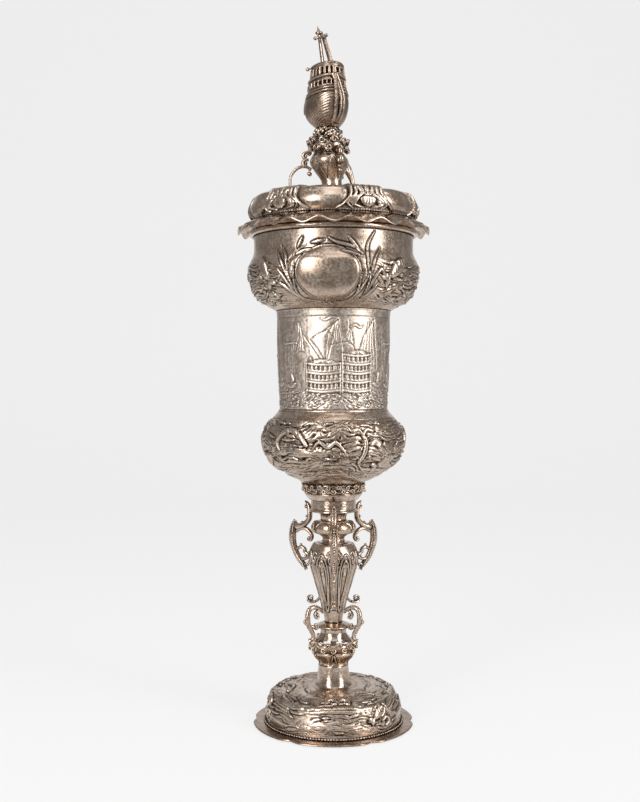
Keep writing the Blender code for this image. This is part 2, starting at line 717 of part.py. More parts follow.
def build_stem():
    """The turned and lobed pieces between the foot and the bowl."""
    base = LEVEL.collar
    top = base + COLLAR_HEIGHT
    run = smooth_route(
        [
            (COLLAR_TOP_RADIUS, top),
            (COLLAR_TOP_RADIUS + 0.2 * (COLLAR_FOOT_RADIUS - COLLAR_TOP_RADIUS), base + 0.5 * COLLAR_HEIGHT),
            (COLLAR_FOOT_RADIUS - 0.4 * (COLLAR_FOOT_RADIUS - COLLAR_TOP_RADIUS), base + 0.12 * COLLAR_HEIGHT),
            (COLLAR_FOOT_RADIUS, base),
        ],
        2,
    )
    inside = COLLAR_TOP_RADIUS - COLLAR_WALL
    turned("foot_collar", run + [(inside, base), (inside, top)], MEDIUM)

    base = LEVEL.lower_knop
    top = base + LOWER_KNOP_HEIGHT
    lobed_knop(
        "lower_knop",
        [
            (0.93 * LOWER_KNOP_RADIUS, top),
            (LOWER_KNOP_RADIUS, top - 0.14 * LOWER_KNOP_HEIGHT),
            (0.97 * LOWER_KNOP_RADIUS, base + 0.7 * LOWER_KNOP_HEIGHT),
            (0.86 * LOWER_KNOP_RADIUS, base + 0.5 * LOWER_KNOP_HEIGHT),
            (0.73 * LOWER_KNOP_RADIUS, base + 0.3 * LOWER_KNOP_HEIGHT),
            (COLLAR_TOP_RADIUS, base + 0.1 * LOWER_KNOP_HEIGHT),
            (COLLAR_TOP_RADIUS, base),
        ],
        LOWER_KNOP_RADIUS,
    )
    leafy_ring(
        "knop_wreath",
        WREATH_BODY_RADIUS,
        WREATH_LEAF_REACH,
        LEVEL.wreath,
        WREATH_HEIGHT,
        WREATH_LEAVES,
        lift=-0.1,
    )

    base = LEVEL.lower_reel
    top = base + LOWER_REEL_HEIGHT
    bored(
        "lower_reel",
        smooth_route(
            [
                (0.8 * LOWER_REEL_END, top),
                (LOWER_REEL_WAIST, base + 0.55 * LOWER_REEL_HEIGHT),
                (LOWER_REEL_END, base),
            ],
            3,
        ),
        COARSE,
    )
    base = LEVEL.drip_disc
    top = base + DRIP_DISC_HEIGHT
    bored(
        "drip_disc",
        [
            (0.62 * DRIP_DISC_RADIUS, top),
            (0.9 * DRIP_DISC_RADIUS, base + 0.6 * DRIP_DISC_HEIGHT),
            (DRIP_DISC_RADIUS, base + 0.35 * DRIP_DISC_HEIGHT),
            (0.85 * DRIP_DISC_RADIUS, base),
        ],
        COARSE,
    )

    bored("baluster_vase", vase_run(), MEDIUM)
    base = LEVEL.neck_reel
    top = base + NECK_REEL_HEIGHT
    bored(
        "neck_reel",
        [
            (1.2 * NECK_REEL_RADIUS, top),
            (NECK_REEL_RADIUS, base + 0.7 * NECK_REEL_HEIGHT),
            (NECK_REEL_RADIUS, base + 0.3 * NECK_REEL_HEIGHT),
            (1.3 * NECK_REEL_RADIUS, base),
        ],
        COARSE,
    )
    base = LEVEL.upper_knop
    top = base + UPPER_KNOP_HEIGHT
    lobed_knop(
        "upper_knop",
        smooth_route(
            [
                (0.62 * UPPER_KNOP_RADIUS, top),
                (0.9 * UPPER_KNOP_RADIUS, base + 0.82 * UPPER_KNOP_HEIGHT),
                (UPPER_KNOP_RADIUS, base + 0.5 * UPPER_KNOP_HEIGHT),
                (0.9 * UPPER_KNOP_RADIUS, base + 0.18 * UPPER_KNOP_HEIGHT),
                (0.62 * UPPER_KNOP_RADIUS, base),
            ],
            2,
        ),
        UPPER_KNOP_RADIUS,
    )
    base = LEVEL.neck_tube
    top = base + NECK_TUBE_HEIGHT
    bored(
        "neck_tube",
        smooth_route(
            [
                (SOCKET_FLANGE_RADIUS - 1.5 * GAP, top),
                (0.65 * SOCKET_FLANGE_RADIUS, top - 0.2 * NECK_TUBE_HEIGHT),
                (NECK_TUBE_RADIUS, base + 0.35 * NECK_TUBE_HEIGHT),
                (NECK_TUBE_RADIUS, base),
            ],
            2,
        ),
        COARSE,
    )


def build_socket():
    """The reel, moulding and leaf collar that carry the bowl."""
    base = LEVEL.socket_reel
    top = base + SOCKET_REEL_HEIGHT
    bored(
        "socket_reel",
        [
            (SOCKET_REEL_RADIUS, top),
            (SOCKET_REEL_RADIUS, base + 0.2 * SOCKET_REEL_HEIGHT),
            (SOCKET_FLANGE_RADIUS, base + 0.1 * SOCKET_REEL_HEIGHT),
            (SOCKET_FLANGE_RADIUS, base),
        ],
        MEDIUM,
    )
    base = LEVEL.socket_ring
    top = base + SOCKET_RING_HEIGHT
    bored(
        "socket_ring",
        [
            (SOCKET_RING_RADIUS, top),
            (SOCKET_RING_RADIUS, base + 0.75 * SOCKET_RING_HEIGHT),
            (0.94 * SOCKET_RING_RADIUS, base + 0.4 * SOCKET_RING_HEIGHT),
            (0.86 * SOCKET_RING_RADIUS, base),
        ],
        MEDIUM,
    )
    leafy_ring(
        "leaf_collar",
        LEAF_COLLAR_BODY,
        LEAF_COLLAR_REACH,
        LEVEL.leaf_collar,
        LEAF_COLLAR_HEIGHT,
        LEAF_COLLAR_LEAVES,
        lift=-0.15,
        steps=2,
    )


def shell(name, run, wall, steps, floor=0.0, fineness=1):
    """A turned shell. The run goes down its outer side; a floor above zero closes it to the rod's bore."""
    inner = offset_inwards(run, wall)
    inner[0] = (run[0][0] - wall, run[0][1])
    inner = inner[:1] + inner[2:-2:2] + inner[-1:]
    run = smooth_route(run, fineness)
    if floor:
        inner[-1] = (run[-1][0], run[-1][1] + floor)
        outline = run + [(BORE, run[-1][1]), (BORE, run[-1][1] + floor)] + inner[::-1]
    else:
        inner[-1] = (run[-1][0] - wall, run[-1][1])
        outline = run + inner[::-1]
    return turned(name, outline, steps)


def build_bowl():
    """The bulged lower bowl, the drum, the upper bowl and the lip."""
    base = LEVEL.lower_bowl
    top = base + LOWER_BOWL_HEIGHT
    below = LOWER_BOWL_WIDEST * LOWER_BOWL_HEIGHT
    above = LOWER_BOWL_HEIGHT - below
    widest = base + below
    run = [
        (DRUM_FOOT_RADIUS, top),
        (DRUM_FOOT_RADIUS + 0.16 * LOWER_BOWL_SWELL, widest + 0.86 * above),
        (DRUM_FOOT_RADIUS + 0.6 * LOWER_BOWL_SWELL, widest + 0.6 * above),
        (0.97 * LOWER_BOWL_RADIUS, widest + 0.32 * above),
        (LOWER_BOWL_RADIUS, widest),
        (0.955 * LOWER_BOWL_RADIUS, widest - 0.35 * below),
        (0.82 * LOWER_BOWL_RADIUS, widest - 0.61 * below),
        (0.62 * LOWER_BOWL_RADIUS, widest - 0.81 * below),
        (BOWL_FOOT_RADIUS, base),
    ]
    bowl = shell("lower_bowl", run, BOWL_WALL, FINE, floor=BOWL_WALL, fineness=2)
    chase(bowl, smooth_route(run, 2), PLAIN_BAND_HEIGHT, 0.0)

    base = LEVEL.drum
    top = base + DRUM_HEIGHT
    shell(
        "drum",
        [
            (DRUM_TOP_RADIUS, top),
            (0.985 * DRUM_TOP_RADIUS, base + 0.93 * DRUM_HEIGHT),
            (0.5 * (DRUM_FOOT_RADIUS + DRUM_TOP_RADIUS), base + 0.55 * DRUM_HEIGHT),
            (DRUM_FOOT_RADIUS, base + 0.15 * DRUM_HEIGHT),
            (DRUM_FOOT_RADIUS, base),
        ],
        BOWL_WALL,
        FINE,
    )

    base = LEVEL.upper_bowl
    top = base + UPPER_BOWL_HEIGHT
    below = UPPER_BOWL_WIDEST * UPPER_BOWL_HEIGHT
    above = UPPER_BOWL_HEIGHT - below
    widest = base + below
    spread = UPPER_BOWL_RADIUS - DRUM_TOP_RADIUS
    shell(
        "upper_bowl",
        [
            (MOUTH_RADIUS, top),
            (MOUTH_RADIUS, widest + 0.5 * above),
            (between(MOUTH_RADIUS, UPPER_BOWL_RADIUS, 0.65), widest + 0.2 * above),
            (UPPER_BOWL_RADIUS, widest),
            (DRUM_TOP_RADIUS + 0.93 * spread, widest - 0.33 * below),
            (DRUM_TOP_RADIUS + 0.7 * spread, widest - 0.69 * below),
            (DRUM_TOP_RADIUS + 0.3 * spread, widest - 0.88 * below),
            (DRUM_TOP_RADIUS, base),
        ],
        BOWL_WALL,
        FINE,
    )

    base = LEVEL.lip
    inside = MOUTH_RADIUS - BOWL_WALL
    turned(
        "lip_ring",
        [
            (LIP_RADIUS - 0.2 * LIP_HEIGHT, LEVEL.lip_top),
            (LIP_RADIUS, base + 0.7 * LIP_HEIGHT),
            (LIP_RADIUS, base + 0.3 * LIP_HEIGHT),
            (LIP_RADIUS - 0.2 * LIP_HEIGHT, base),
            (inside, base),
            (inside, LEVEL.lip_top),
        ],
        FINE,
    )


def build_cover():
    """The bezel that locates the cover, its waved flange and its bossed dome."""
    outside = MOUTH_RADIUS - BOWL_WALL - BEZEL_FIT
    inside = outside - BEZEL_WALL
    top = LEVEL.bearer + BEARER_HEIGHT
    turned(
        "cover_bezel",
        [
            (BEARER_RADIUS, top),
            (BEARER_RADIUS, LEVEL.bearer),
            (outside, LEVEL.bearer),
            (outside, LEVEL.bearer - BEZEL_DEPTH),
            (inside, LEVEL.bearer - BEZEL_DEPTH),
            (inside, top),
        ],
        FINE,
    )

    base = LEVEL.cover_flange
    high = base + COVER_FLANGE_THICKNESS
    flange = turned(
        "cover_flange",
        [
            (BEARER_RADIUS, high),
            (COVER_FLANGE_RADIUS, high - COVER_FLANGE_DROP),
            (COVER_FLANGE_RADIUS, base - COVER_FLANGE_DROP),
            (BEARER_RADIUS, base),
            (inside, base),
            (inside, high),
        ],
        4 * COVER_WAVES,
    )

    def ruffle(co):
        radius, angle = round_axis(co)
        share = max(0.0, (radius - BEARER_RADIUS) / (COVER_FLANGE_RADIUS - BEARER_RADIUS))
        return at_angle(radius, angle, co.z + COVER_WAVE_HEIGHT * share * math.cos(COVER_WAVES * angle))

    reshape(flange, ruffle).rotation_euler.z = math.radians(-9)

    base = LEVEL.cover_dome
    top = base + COVER_DOME_HEIGHT
    run = [
        (COVER_CENTRE_RADIUS, LEVEL.cover_centre),
        (0.5 * (COVER_CENTRE_RADIUS + COVER_RING_RADIUS), LEVEL.cover_centre + 0.35 * COVER_CENTRE_DROP),
        (COVER_RING_RADIUS, top),
        (0.65 * COVER_RADIUS + 0.35 * COVER_RING_RADIUS, top - 0.09 * COVER_DOME_HEIGHT),
        (0.97 * COVER_RADIUS, top - 0.33 * COVER_DOME_HEIGHT),
        (COVER_RADIUS, base + 0.4 * COVER_DOME_HEIGHT),
        (0.98 * COVER_RADIUS, base + 0.15 * COVER_DOME_HEIGHT),
        (0.93 * COVER_RADIUS, base),
    ]
    inner = offset_inwards(run, COVER_WALL + COVER_BOSS_RELIEF)
    inner[0] = (COVER_CENTRE_RADIUS, LEVEL.cover_centre - COVER_WALL)
    inner[-1] = (0.93 * COVER_RADIUS - COVER_WALL, base)
    inner = inner[:2] + inner[2:-1:2] + inner[-1:]
    bore = [(STUD_BORE, LEVEL.cover_centre - COVER_WALL), (STUD_BORE, LEVEL.cover_centre)]
    outer_side = smooth_route(run, 2)
    dome = turned("cover_dome", outer_side + inner[::-1] + bore, COVER_STEPS)

    def emboss(angle, along, end):
        across = abs(off_centre(angle, COVER_BOSSES)) / BOSS_HALF_ANGLE
        down = abs(along / end - BOSS_MIDDLE) / BOSS_HALF_LENGTH
        out = across**BOSS_SQUARENESS + down**BOSS_SQUARENESS
        sunk = COVER_BOSS_RELIEF * (1 - math.sqrt(max(0.0, 1 - out)))
        return -sunk * fade(along, 0.2 * end, end, 0.1 * end)

    work_relief(dome, outer_side, emboss).rotation_euler.z = COVER_TURN


def lean_at(height):
    """How far the bent finial stands to the left at a height."""
    rise = max(0.0, height - LEVEL.finial_vase)
    return -FINIAL_SHIFT * (1 - math.exp(-rise / FINIAL_BEND_HEIGHT))


def leaned(obj):
    """Shifts a finial piece to the left with height, so that its seats stay level."""
    return reshape(obj, lambda co: Vector((co.x + lean_at(co.z), co.y, co.z)))


def finial_vase_run():
    """Radii and heights of the finial's vase, from its top down."""
    base = LEVEL.finial_vase
    return smooth_route(
        [
            (0.8 * FINIAL_VASE_RADIUS, base + FINIAL_VASE_HEIGHT),
            (FINIAL_VASE_RADIUS, base + 0.8 * FINIAL_VASE_HEIGHT),
            (0.85 * FINIAL_VASE_RADIUS, base + 0.6 * FINIAL_VASE_HEIGHT),
            (FINIAL_WAIST_RADIUS, base + 0.3 * FINIAL_VASE_HEIGHT),
            (1.15 * FINIAL_WAIST_RADIUS, base),
        ],
        2,
    )


def build_finial_base():
    """The plate, vase, wreath and wave mount under the ship, with the stud that holds them."""
    base = LEVEL.finial_plate
    top = base + FINIAL_PLATE_HEIGHT
    bored(
        "finial_plate",
        [
            (0.62 * FINIAL_PLATE_RADIUS, top),
            (0.8 * FINIAL_PLATE_RADIUS, base + 0.45 * FINIAL_PLATE_HEIGHT),
            (FINIAL_PLATE_RADIUS, base + 0.25 * FINIAL_PLATE_HEIGHT),
            (FINIAL_PLATE_RADIUS, base),
        ],
        COARSE,
        STUD_BORE,
    )
    leaned(bored("finial_vase", finial_vase_run(), COARSE, STUD_BORE))
    leaned(
        leafy_ring(
            "finial_wreath",
            FINIAL_WREATH_RADIUS,
            FINIAL_WREATH_REACH,
            LEVEL.finial_wreath,
            FINIAL_WREATH_HEIGHT,
            FINIAL_WREATH_CURLS,
            STUD_BORE,
            lift=0.05,
            steps=2,
        )
    )
    base = LEVEL.wave_mount
    top = base + WAVE_MOUNT_HEIGHT
    leaned(
        bored(
            "wave_mount",
            [
                (0.75 * WAVE_MOUNT_RADIUS, top),
                (WAVE_MOUNT_RADIUS, base + 0.6 * WAVE_MOUNT_HEIGHT),
                (0.92 * WAVE_MOUNT_RADIUS, base),
            ],
            COARSE,
            STUD_BORE,
        )
    )

    under = LEVEL.cover_centre - COVER_WALL
    washer_top = under - GAP
    washer_low = washer_top - FINIAL_WASHER_THICKNESS
    nut_top = washer_low - GAP
    nut_low = nut_top - FINIAL_NUT_HEIGHT
    turned(
        "finial_washer",
        [
            (FINIAL_WASHER_RADIUS, washer_top),
            (FINIAL_WASHER_RADIUS, washer_low),
            (STUD_BORE, washer_low),
            (STUD_BORE, washer_top),
        ],
        COARSE,
        STEEL,
    )
    hex_nut("finial_nut", FINIAL_NUT_RADIUS, STUD_BORE, nut_top, nut_low)
    stud_top = LEVEL.hull + HULL_WALL + STUD_TOP
    seats = (LEVEL.hull, LEVEL.wave_mount, LEVEL.finial_wreath, LEVEL.finial_vase)
    leaned(
        turned(
            "finial_stud",
            [(0.0, stud_top), (STUD_RADIUS, stud_top)]
            + [(STUD_RADIUS, seat) for seat in seats]
            + [(STUD_RADIUS, nut_low - STUD_TAIL), (0.0, nut_low - STUD_TAIL)],
            SLIM,
            STEEL,
            closed=False,
        )
    )


def sheer(along):
    """How far the ship's decks rise towards her two ends."""
    return SHEER * (math.hypot(along, SHEER_ROUNDING) - SHEER_ROUNDING)


def ship_shape(obj, fore_stretch):
    """Draws a turned piece out into the ship's plan, raises its ends and turns it to its heading."""

    def draw_out(co):
        share = max(0.0, min(1.0, (co.z - LEVEL.hull) / HULL_HEIGHT))
        radius = max(1e-9, math.hypot(co.x, co.y))
        if co.y < 0:
            along = co.y * (1 + (HULL_AFT_STRETCH - 1) * (0.5 + 0.5 * share))
            across = co.x
        else:
            reach = co.y / radius
            along = co.y * (1 + (fore_stretch - 1) * (0.35 + 0.65 * share))
            across = co.x * (1 - BOW_PINCH * reach**2 * (fore_stretch > 1))
        return Vector((across, along, co.z + share * sheer(along)))

    reshape(obj, draw_out)
    obj.data.transform(Matrix.Rotation(SHIP_HEADING, 4, "Z"))
    return leaned(obj)


def hull_run():
    """Half beams and heights of the hull, from its rim down to its keel."""
    base = LEVEL.hull
    return [
        (HULL_RIM_HALF_BEAM, LEVEL.hull_top),
        (0.88 * HULL_HALF_BEAM, base + 0.78 * HULL_HEIGHT),
        (HULL_HALF_BEAM, base + 0.5 * HULL_HEIGHT),
        (0.86 * HULL_HALF_BEAM, base + 0.2 * HULL_HEIGHT),
        (0.5 * HULL_HALF_BEAM, base),
    ]


def build_ship():
    """The hull, the decks, and the stern gallery with its rail."""
    base = LEVEL.hull
    outer = smooth_route(hull_run(), 2)
    inner = offset_inwards(hull_run(), HULL_WALL)
    inner[0] = (HULL_RIM_HALF_BEAM - HULL_WALL, LEVEL.hull_top)
    inner[-1] = (0.5 * HULL_HALF_BEAM, base + HULL_WALL)
    hull = turned(
        "ship_hull",
        outer + [(STUD_BORE, base), (STUD_BORE, base + HULL_WALL)] + inner[::-1],
        COARSE,
    )
    ship_shape(hull, HULL_FORE_STRETCH)

    deck_top = LEVEL.hull_top - MAIN_DECK_DROP
    deck_low = deck_top - DECK_THICKNESS
    deck_radius = HULL_RIM_HALF_BEAM - HULL_WALL - GAP
    deck = turned(
        "main_deck",
        [(0.0, deck_top), (deck_radius, deck_top), (deck_radius, deck_low), (0.0, deck_low)],
        COARSE,
        closed=False,
    )
    ship_shape(deck, HULL_FORE_STRETCH)

    base = LEVEL.gallery
    top = base + GALLERY_HEIGHT
    gallery = turned(
        "stern_gallery",
        [
            (GALLERY_TOP_HALF_BEAM, top),
            (HULL_RIM_HALF_BEAM, base + 0.3 * GALLERY_HEIGHT),
            (HULL_RIM_HALF_BEAM, base),
            (HULL_RIM_HALF_BEAM - HULL_WALL, base),
            (GALLERY_TOP_HALF_BEAM - HULL_WALL, top),
        ],
        COARSE,
    )
    ship_shape(gallery, GALLERY_FORE_STRETCH)

    rail = turned(
        "gallery_rail",
        [
            (GALLERY_TOP_HALF_BEAM, LEVEL.rail_top),
            (GALLERY_TOP_HALF_BEAM + RAIL_LIP, LEVEL.rail + 0.5 * RAIL_HEIGHT),
            (GALLERY_TOP_HALF_BEAM, LEVEL.rail),
            (GALLERY_TOP_HALF_BEAM - HULL_WALL, LEVEL.rail),
            (GALLERY_TOP_HALF_BEAM - HULL_WALL, LEVEL.rail_top),
        ],
        COARSE,
    )
    ship_shape(rail, GALLERY_FORE_STRETCH)

    poop_top = LEVEL.rail - POOP_DECK_DROP
    poop_low = poop_top - DECK_THICKNESS
    poop_radius = GALLERY_TOP_HALF_BEAM - HULL_WALL - GAP
    poop = turned(
        "poop_deck",
        [(0.0, poop_top), (poop_radius, poop_top), (poop_radius, poop_low), (0.0, poop_low)],
        COARSE,
        closed=False,
    )
    ship_shape(poop, GALLERY_FORE_STRETCH)


def build_side_knob():
    """The small knob that stands out of the gallery's rail on the left."""
    height = LEVEL.rail + 0.5 * RAIL_HEIGHT
    outwards = Vector((-math.cos(SHIP_HEADING), -math.sin(SHIP_HEADING), 0.0))
    middle = Vector((lean_at(height), 0.0, height))
    root = middle + (GALLERY_TOP_HALF_BEAM + RAIL_LIP + GAP) * outwards
    end = root + KNOB_REACH * outwards - Vector((0.0, 0.0, KNOB_DROOP))
    cast("side_knob", [rod([(*root, 1.0), (*end, 1.0)], KNOB_STEM_RADIUS), ball(KNOB_RADIUS, end)])


def build_rudder():
    """The stern post and rudder, a curved bar that stands off the hull's stern by the gap."""
    route = []
    for beam, height in smooth_route(hull_run(), 2)[1:-1]:
        share = (height - LEVEL.hull) / HULL_HEIGHT
        aft = beam * (1 + (HULL_AFT_STRETCH - 1) * (0.5 + 0.5 * share))
        route.append((aft + RUDDER_STANDOFF + RUDDER_DEPTH / 2, height + share * sheer(aft), 1.0))
    blade = strap(route, RUDDER_THICKNESS / 2, RUDDER_DEPTH / 2, steps=1)
    rudder = cast("rudder", [blade])
    rudder.data.transform(upright(SHIP_HEADING))
    leaned(rudder)


def build_masts():
    """The raked mast and its stay, the yard, the crow's nest and the spike."""
    deck = LEVEL.rail - POOP_DECK_DROP + GAP

    def place(shares, rise):
        across, back = (share * GALLERY_TOP_HALF_BEAM for share in shares)
        return Vector((lean_at(deck) + across, back, deck + sheer(back) + rise))

    foot = place(MAST_FOOT, MAST_FOOT_RISE)
    head = place(MAST_HEAD, MAST_RISE)
    cast("main_mast", [rod([(*foot, 1.0), (*head, MAST_TAPER)], MAST_RADIUS)])
    stay_foot = place(STAY_FOOT, MAST_FOOT_RISE)
    stay_head = place(STAY_HEAD, MAST_RISE + STAY_OVERTOP)
    cast("stay_spar", [rod([(*stay_foot, 1.0), (*stay_head, STAY_TAPER)], STAY_RADIUS)])

    rake = (stay_head - stay_foot).xy.length / (stay_head.z - stay_foot.z)
    nest_base = stay_head.z + rake * STAY_TAPER * STAY_RADIUS + GAP
    centre = Vector((stay_head.x, stay_head.y, 0.0))
    nest = turned(
        "crow_nest",
        [
            (0.0, nest_base + NEST_HEIGHT),
            (0.9 * NEST_RADIUS, nest_base + NEST_HEIGHT),
            (NEST_RADIUS, nest_base + 0.6 * NEST_HEIGHT),
            (0.4 * NEST_RADIUS, nest_base),
            (0.0, nest_base),
        ],
        SLIM,
        closed=False,
    )
    reshape(nest, lambda co: co + centre)

    spike_base = nest_base + NEST_HEIGHT + GAP
    spike = turned(
        "mast_spike",
        [
            (0.0, spike_base + SPIKE_HEIGHT),
            (0.25 * NEST_RADIUS, spike_base + 0.5 * SPIKE_HEIGHT),
            (0.55 * NEST_RADIUS, spike_base),
            (0.0, spike_base),
        ],
        SLIM,
        closed=False,
    )
    reshape(spike, lambda co: co + centre + Vector((SPIKE_LEAN * (co.z - spike_base), 0.0, 0.0)))

    front = min(head.y, stay_head.y) - MAST_RADIUS - GAP - YARD_RADIUS
    yard_z = head.z - YARD_BELOW_HEAD
    yard = [
        rod(
            [
                (head.x + YARD_RIGHT, front, yard_z + YARD_RISE, 1.0),
                (head.x, front, yard_z, 1.0),
                (head.x - YARD_LEFT, front, yard_z - YARD_RISE, 0.9),
            ],
            YARD_RADIUS,
        ),
        ball(YARD_BALL_RADIUS, (head.x + YARD_RIGHT, front, yard_z + YARD_RISE)),
        ball(YARD_BALL_RADIUS, (head.x - YARD_LEFT, front, yard_z - YARD_RISE)),
    ]
    cast("top_yard", yard)


def stem_height(share):
    """A height beside the stem: 0 to 1 up the vase, 1 to 2 from there to the top of the socket reel."""
    if share <= 1:
        return LEVEL.vase + share * VASE_HEIGHT
    return between(LEVEL.neck_reel, LEVEL.socket_ring, share - 1)


def build_upper_brackets():
    """The three open scroll brackets between the vase and the bowl's socket."""
    outline = vase_run()

    def out(share):
        return VASE_RADIUS + share * BRACKET_REACH

    def route(points):
        return [(out(share), stem_height(rise), taper) for share, rise, taper in points]

    socket_seat = SOCKET_FLANGE_RADIUS + GAP + BRACKET_HALF_THICKNESS
    knop_seat = max(out(0.19), UPPER_KNOP_RADIUS + 2 * GAP + BRACKET_HALF_THICKNESS)
    link_height = stem_height(0.722)
    outer_leaf = route(
        [
            (0.76, 1.5, 0.5),
            (0.95, 1.36, 1.0),
            (1.0, 1.08, 1.1),
            (0.91, 0.87, 1.0),
            (0.64, 0.71, 0.8),
            (0.34, 0.61, 0.6),
        ]
    )
    top_arc = route([(0.86, 1.39, 0.8), (0.59, 1.34, 0.8)]) + [
        (between(knop_seat, out(0.59), 0.3), stem_height(1.39), 0.8),
        (socket_seat + 0.07 * BRACKET_REACH, stem_height(1.56), 0.8),
        (socket_seat, stem_height(1.74), 0.8),
        (socket_seat + 0.2 * BRACKET_REACH, stem_height(1.9), 0.4),
    ]
    inner_scroll = route([(0.56, 1.34, 0.7)])
    inner_scroll += [(knop_seat, stem_height(1.28), 0.7)]
    inner_scroll += route([(0.01, 1.1, 0.7), (0.15, 0.99, 0.6)])
    loop = route([(0.91, 0.96, 0.7), (0.64, 0.91, 0.7), (0.35, 0.887, 0.7)]) + [
        (VASE_RADIUS + GAP, stem_height(0.87), 0.7)
    ]
    lower_link = route([(0.64, 0.76, 0.7), (0.37, 0.75, 0.7)]) + [
        (radius_at(outline, link_height) + GAP, link_height, 0.6)
    ]
    routes = (outer_leaf, top_arc, inner_scroll, loop, lower_link)
    bracket = cast("bracket", [strap(run, BRACKET_HALF_WIDTH, BRACKET_HALF_THICKNESS) for run in routes])
    place_copies("scroll_bracket", THIRDS, bracket)


def build_lower_scrolls():
    """The three small scrolls between the wreath and the vase's neck."""
    low = LEVEL.lower_reel
    high = stem_height(LOWER_SCROLL_TOP)

    def route(points):
        return [
            (DRIP_DISC_RADIUS + share * LOWER_SCROLL_REACH, between(low, high, rise), taper)
            for share, rise, taper in points
        ]

    start = between(low, high, 0.87)
    disc_rim = LEVEL.drip_disc + 0.35 * DRIP_DISC_HEIGHT
    c_scroll = [(radius_at(vase_run(), start) + 2 * GAP, start, 0.7)] + route(
        [
            (0.16, 0.98, 0.8),
            (0.49, 1.0, 0.9),
            (0.87, 0.87, 1.0),
            (1.0, 0.625, 1.0),
            (0.8, 0.4, 0.9),
            (0.48, 0.22, 0.8),
            (0.24, 0.0, 0.8),
        ]
    )
    leaf_spike = route([(0.95, 0.63, 1.0), (1.3, 0.58, 0.4)])
    inner_curl = route([(0.57, 0.3, 0.7), (0.34, 0.34, 0.7)]) + [(DRIP_DISC_RADIUS + GAP, disc_rim, 0.6)]
    top_curl = route([(0.1, 0.95, 0.6), (0.04, 0.81, 0.6), (0.23, 0.73, 0.5)])
    bands = [
        strap(run, LOWER_SCROLL_HALF_WIDTH, LOWER_SCROLL_HALF_THICKNESS)
        for run in (c_scroll, leaf_spike, inner_curl, top_curl)
    ]
    scroll = cast("scroll", bands)
    place_copies("lower_scroll", BETWEEN_THIRDS, scroll)


def build_vase_straps():
    """The three straps that run down the vase under the brackets and curl out at its foot."""
    outline = vase_run()
    seat = GAP + STRAP_HALF_THICKNESS
    points = [
        (0.0, 0.687, 0.8),
        (0.0, 0.525, 0.9),
        (0.0, 0.385, 1.0),
        (0.1, 0.275, 1.0),
        (0.6, 0.21, 1.0),
        (1.0, 0.237, 0.9),
        (0.88, 0.296, 0.8),
        (0.66, 0.293, 0.6),
    ]
    run = []
    for share, rise, taper in points:
        height = stem_height(rise)
        run.append((radius_at(outline, height) + seat + share * STRAP_CURL_REACH, height, taper))
    place_copies("vase_strap", THIRDS, cast("tail", [strap(run, STRAP_HALF_WIDTH, STRAP_HALF_THICKNESS)]))


def build_finial_brackets():
    """The finial's three small brackets, each with a tendril that runs down to the cover."""
    low = LEVEL.finial_vase
    high = LEVEL.finial_wreath

    def route(reach, points):
        return [
            (FINIAL_VASE_RADIUS + share * reach, between(low, high, rise), taper)
            for share, rise, taper in points
        ]

    top_end = between(low, high, 0.93)
    seat = radius_at(finial_vase_run(), top_end) + 2 * GAP
    scroll = [(seat, top_end, 0.7)] + route(
        FINIAL_SCROLL_REACH,
        [(0.9, 0.95, 0.9), (0.54, 0.8, 1.0), (1.0, 0.68, 1.0), (0.46, 0.54, 0.9), (0.23, 0.45, 0.8)],
    )
    tendril = route(TENDRIL_REACH, [(0.35, 0.69, 0.8), (0.65, 0.57, 0.7), (0.91, 0.355, 0.6), (1.0, 0.14, 0.5)])
    landing = LEVEL.cover_centre + 0.35 * COVER_CENTRE_DROP + GAP
    tendril.append((FINIAL_VASE_RADIUS + 0.96 * TENDRIL_REACH, landing, 0.5))
    bracket = cast(
        "finial_scroll",
        [strap(run, FINIAL_SCROLL_HALF_WIDTH, FINIAL_SCROLL_HALF_THICKNESS) for run in (scroll, tendril)],
    )
    place_copies("finial_bracket", FINIAL_SIDES, bracket)
    for side, _ in FINIAL_SIDES:
        leaned(bpy.data.objects[f"finial_bracket_{side}"])


def main():
    clear_scene()
    build_foot()
    build_tie_rod()
    build_stem()
    build_socket()
    build_upper_brackets()
    build_lower_scrolls()
    build_vase_straps()
    build_bowl()
    build_cover()
    build_finial_base()
    build_finial_brackets()
    build_ship()
    build_side_knob()
    build_rudder()
    build_masts()


main()
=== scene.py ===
"""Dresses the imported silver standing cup: chased bowls, cast scrolls and a ship on the cover.

Sizes are in millimetres unless a name says otherwise, +Z is up and the front looks along -Y.
Angles round the cup are in degrees from the front towards +X.
"""

import logging
import math
from dataclasses import dataclass, field
from enum import Enum
from functools import lru_cache, partial
from typing import Callable, Sequence

import bmesh
import bpy
import numpy as np
from mathutils import Matrix, Vector


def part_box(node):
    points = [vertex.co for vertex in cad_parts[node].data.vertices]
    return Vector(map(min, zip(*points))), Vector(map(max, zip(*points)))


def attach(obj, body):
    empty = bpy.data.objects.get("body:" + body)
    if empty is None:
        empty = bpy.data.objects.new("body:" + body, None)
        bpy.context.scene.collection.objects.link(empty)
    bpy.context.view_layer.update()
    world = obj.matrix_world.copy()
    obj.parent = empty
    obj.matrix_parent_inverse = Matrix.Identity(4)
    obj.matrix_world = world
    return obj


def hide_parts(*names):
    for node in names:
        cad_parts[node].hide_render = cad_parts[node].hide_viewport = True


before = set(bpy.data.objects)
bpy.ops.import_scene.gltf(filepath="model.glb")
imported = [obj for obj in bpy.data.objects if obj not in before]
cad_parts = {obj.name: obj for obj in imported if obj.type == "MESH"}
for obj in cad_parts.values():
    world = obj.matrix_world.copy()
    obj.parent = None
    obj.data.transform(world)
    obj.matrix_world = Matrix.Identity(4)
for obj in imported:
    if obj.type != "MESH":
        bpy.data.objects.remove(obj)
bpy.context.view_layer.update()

MM = 0.001
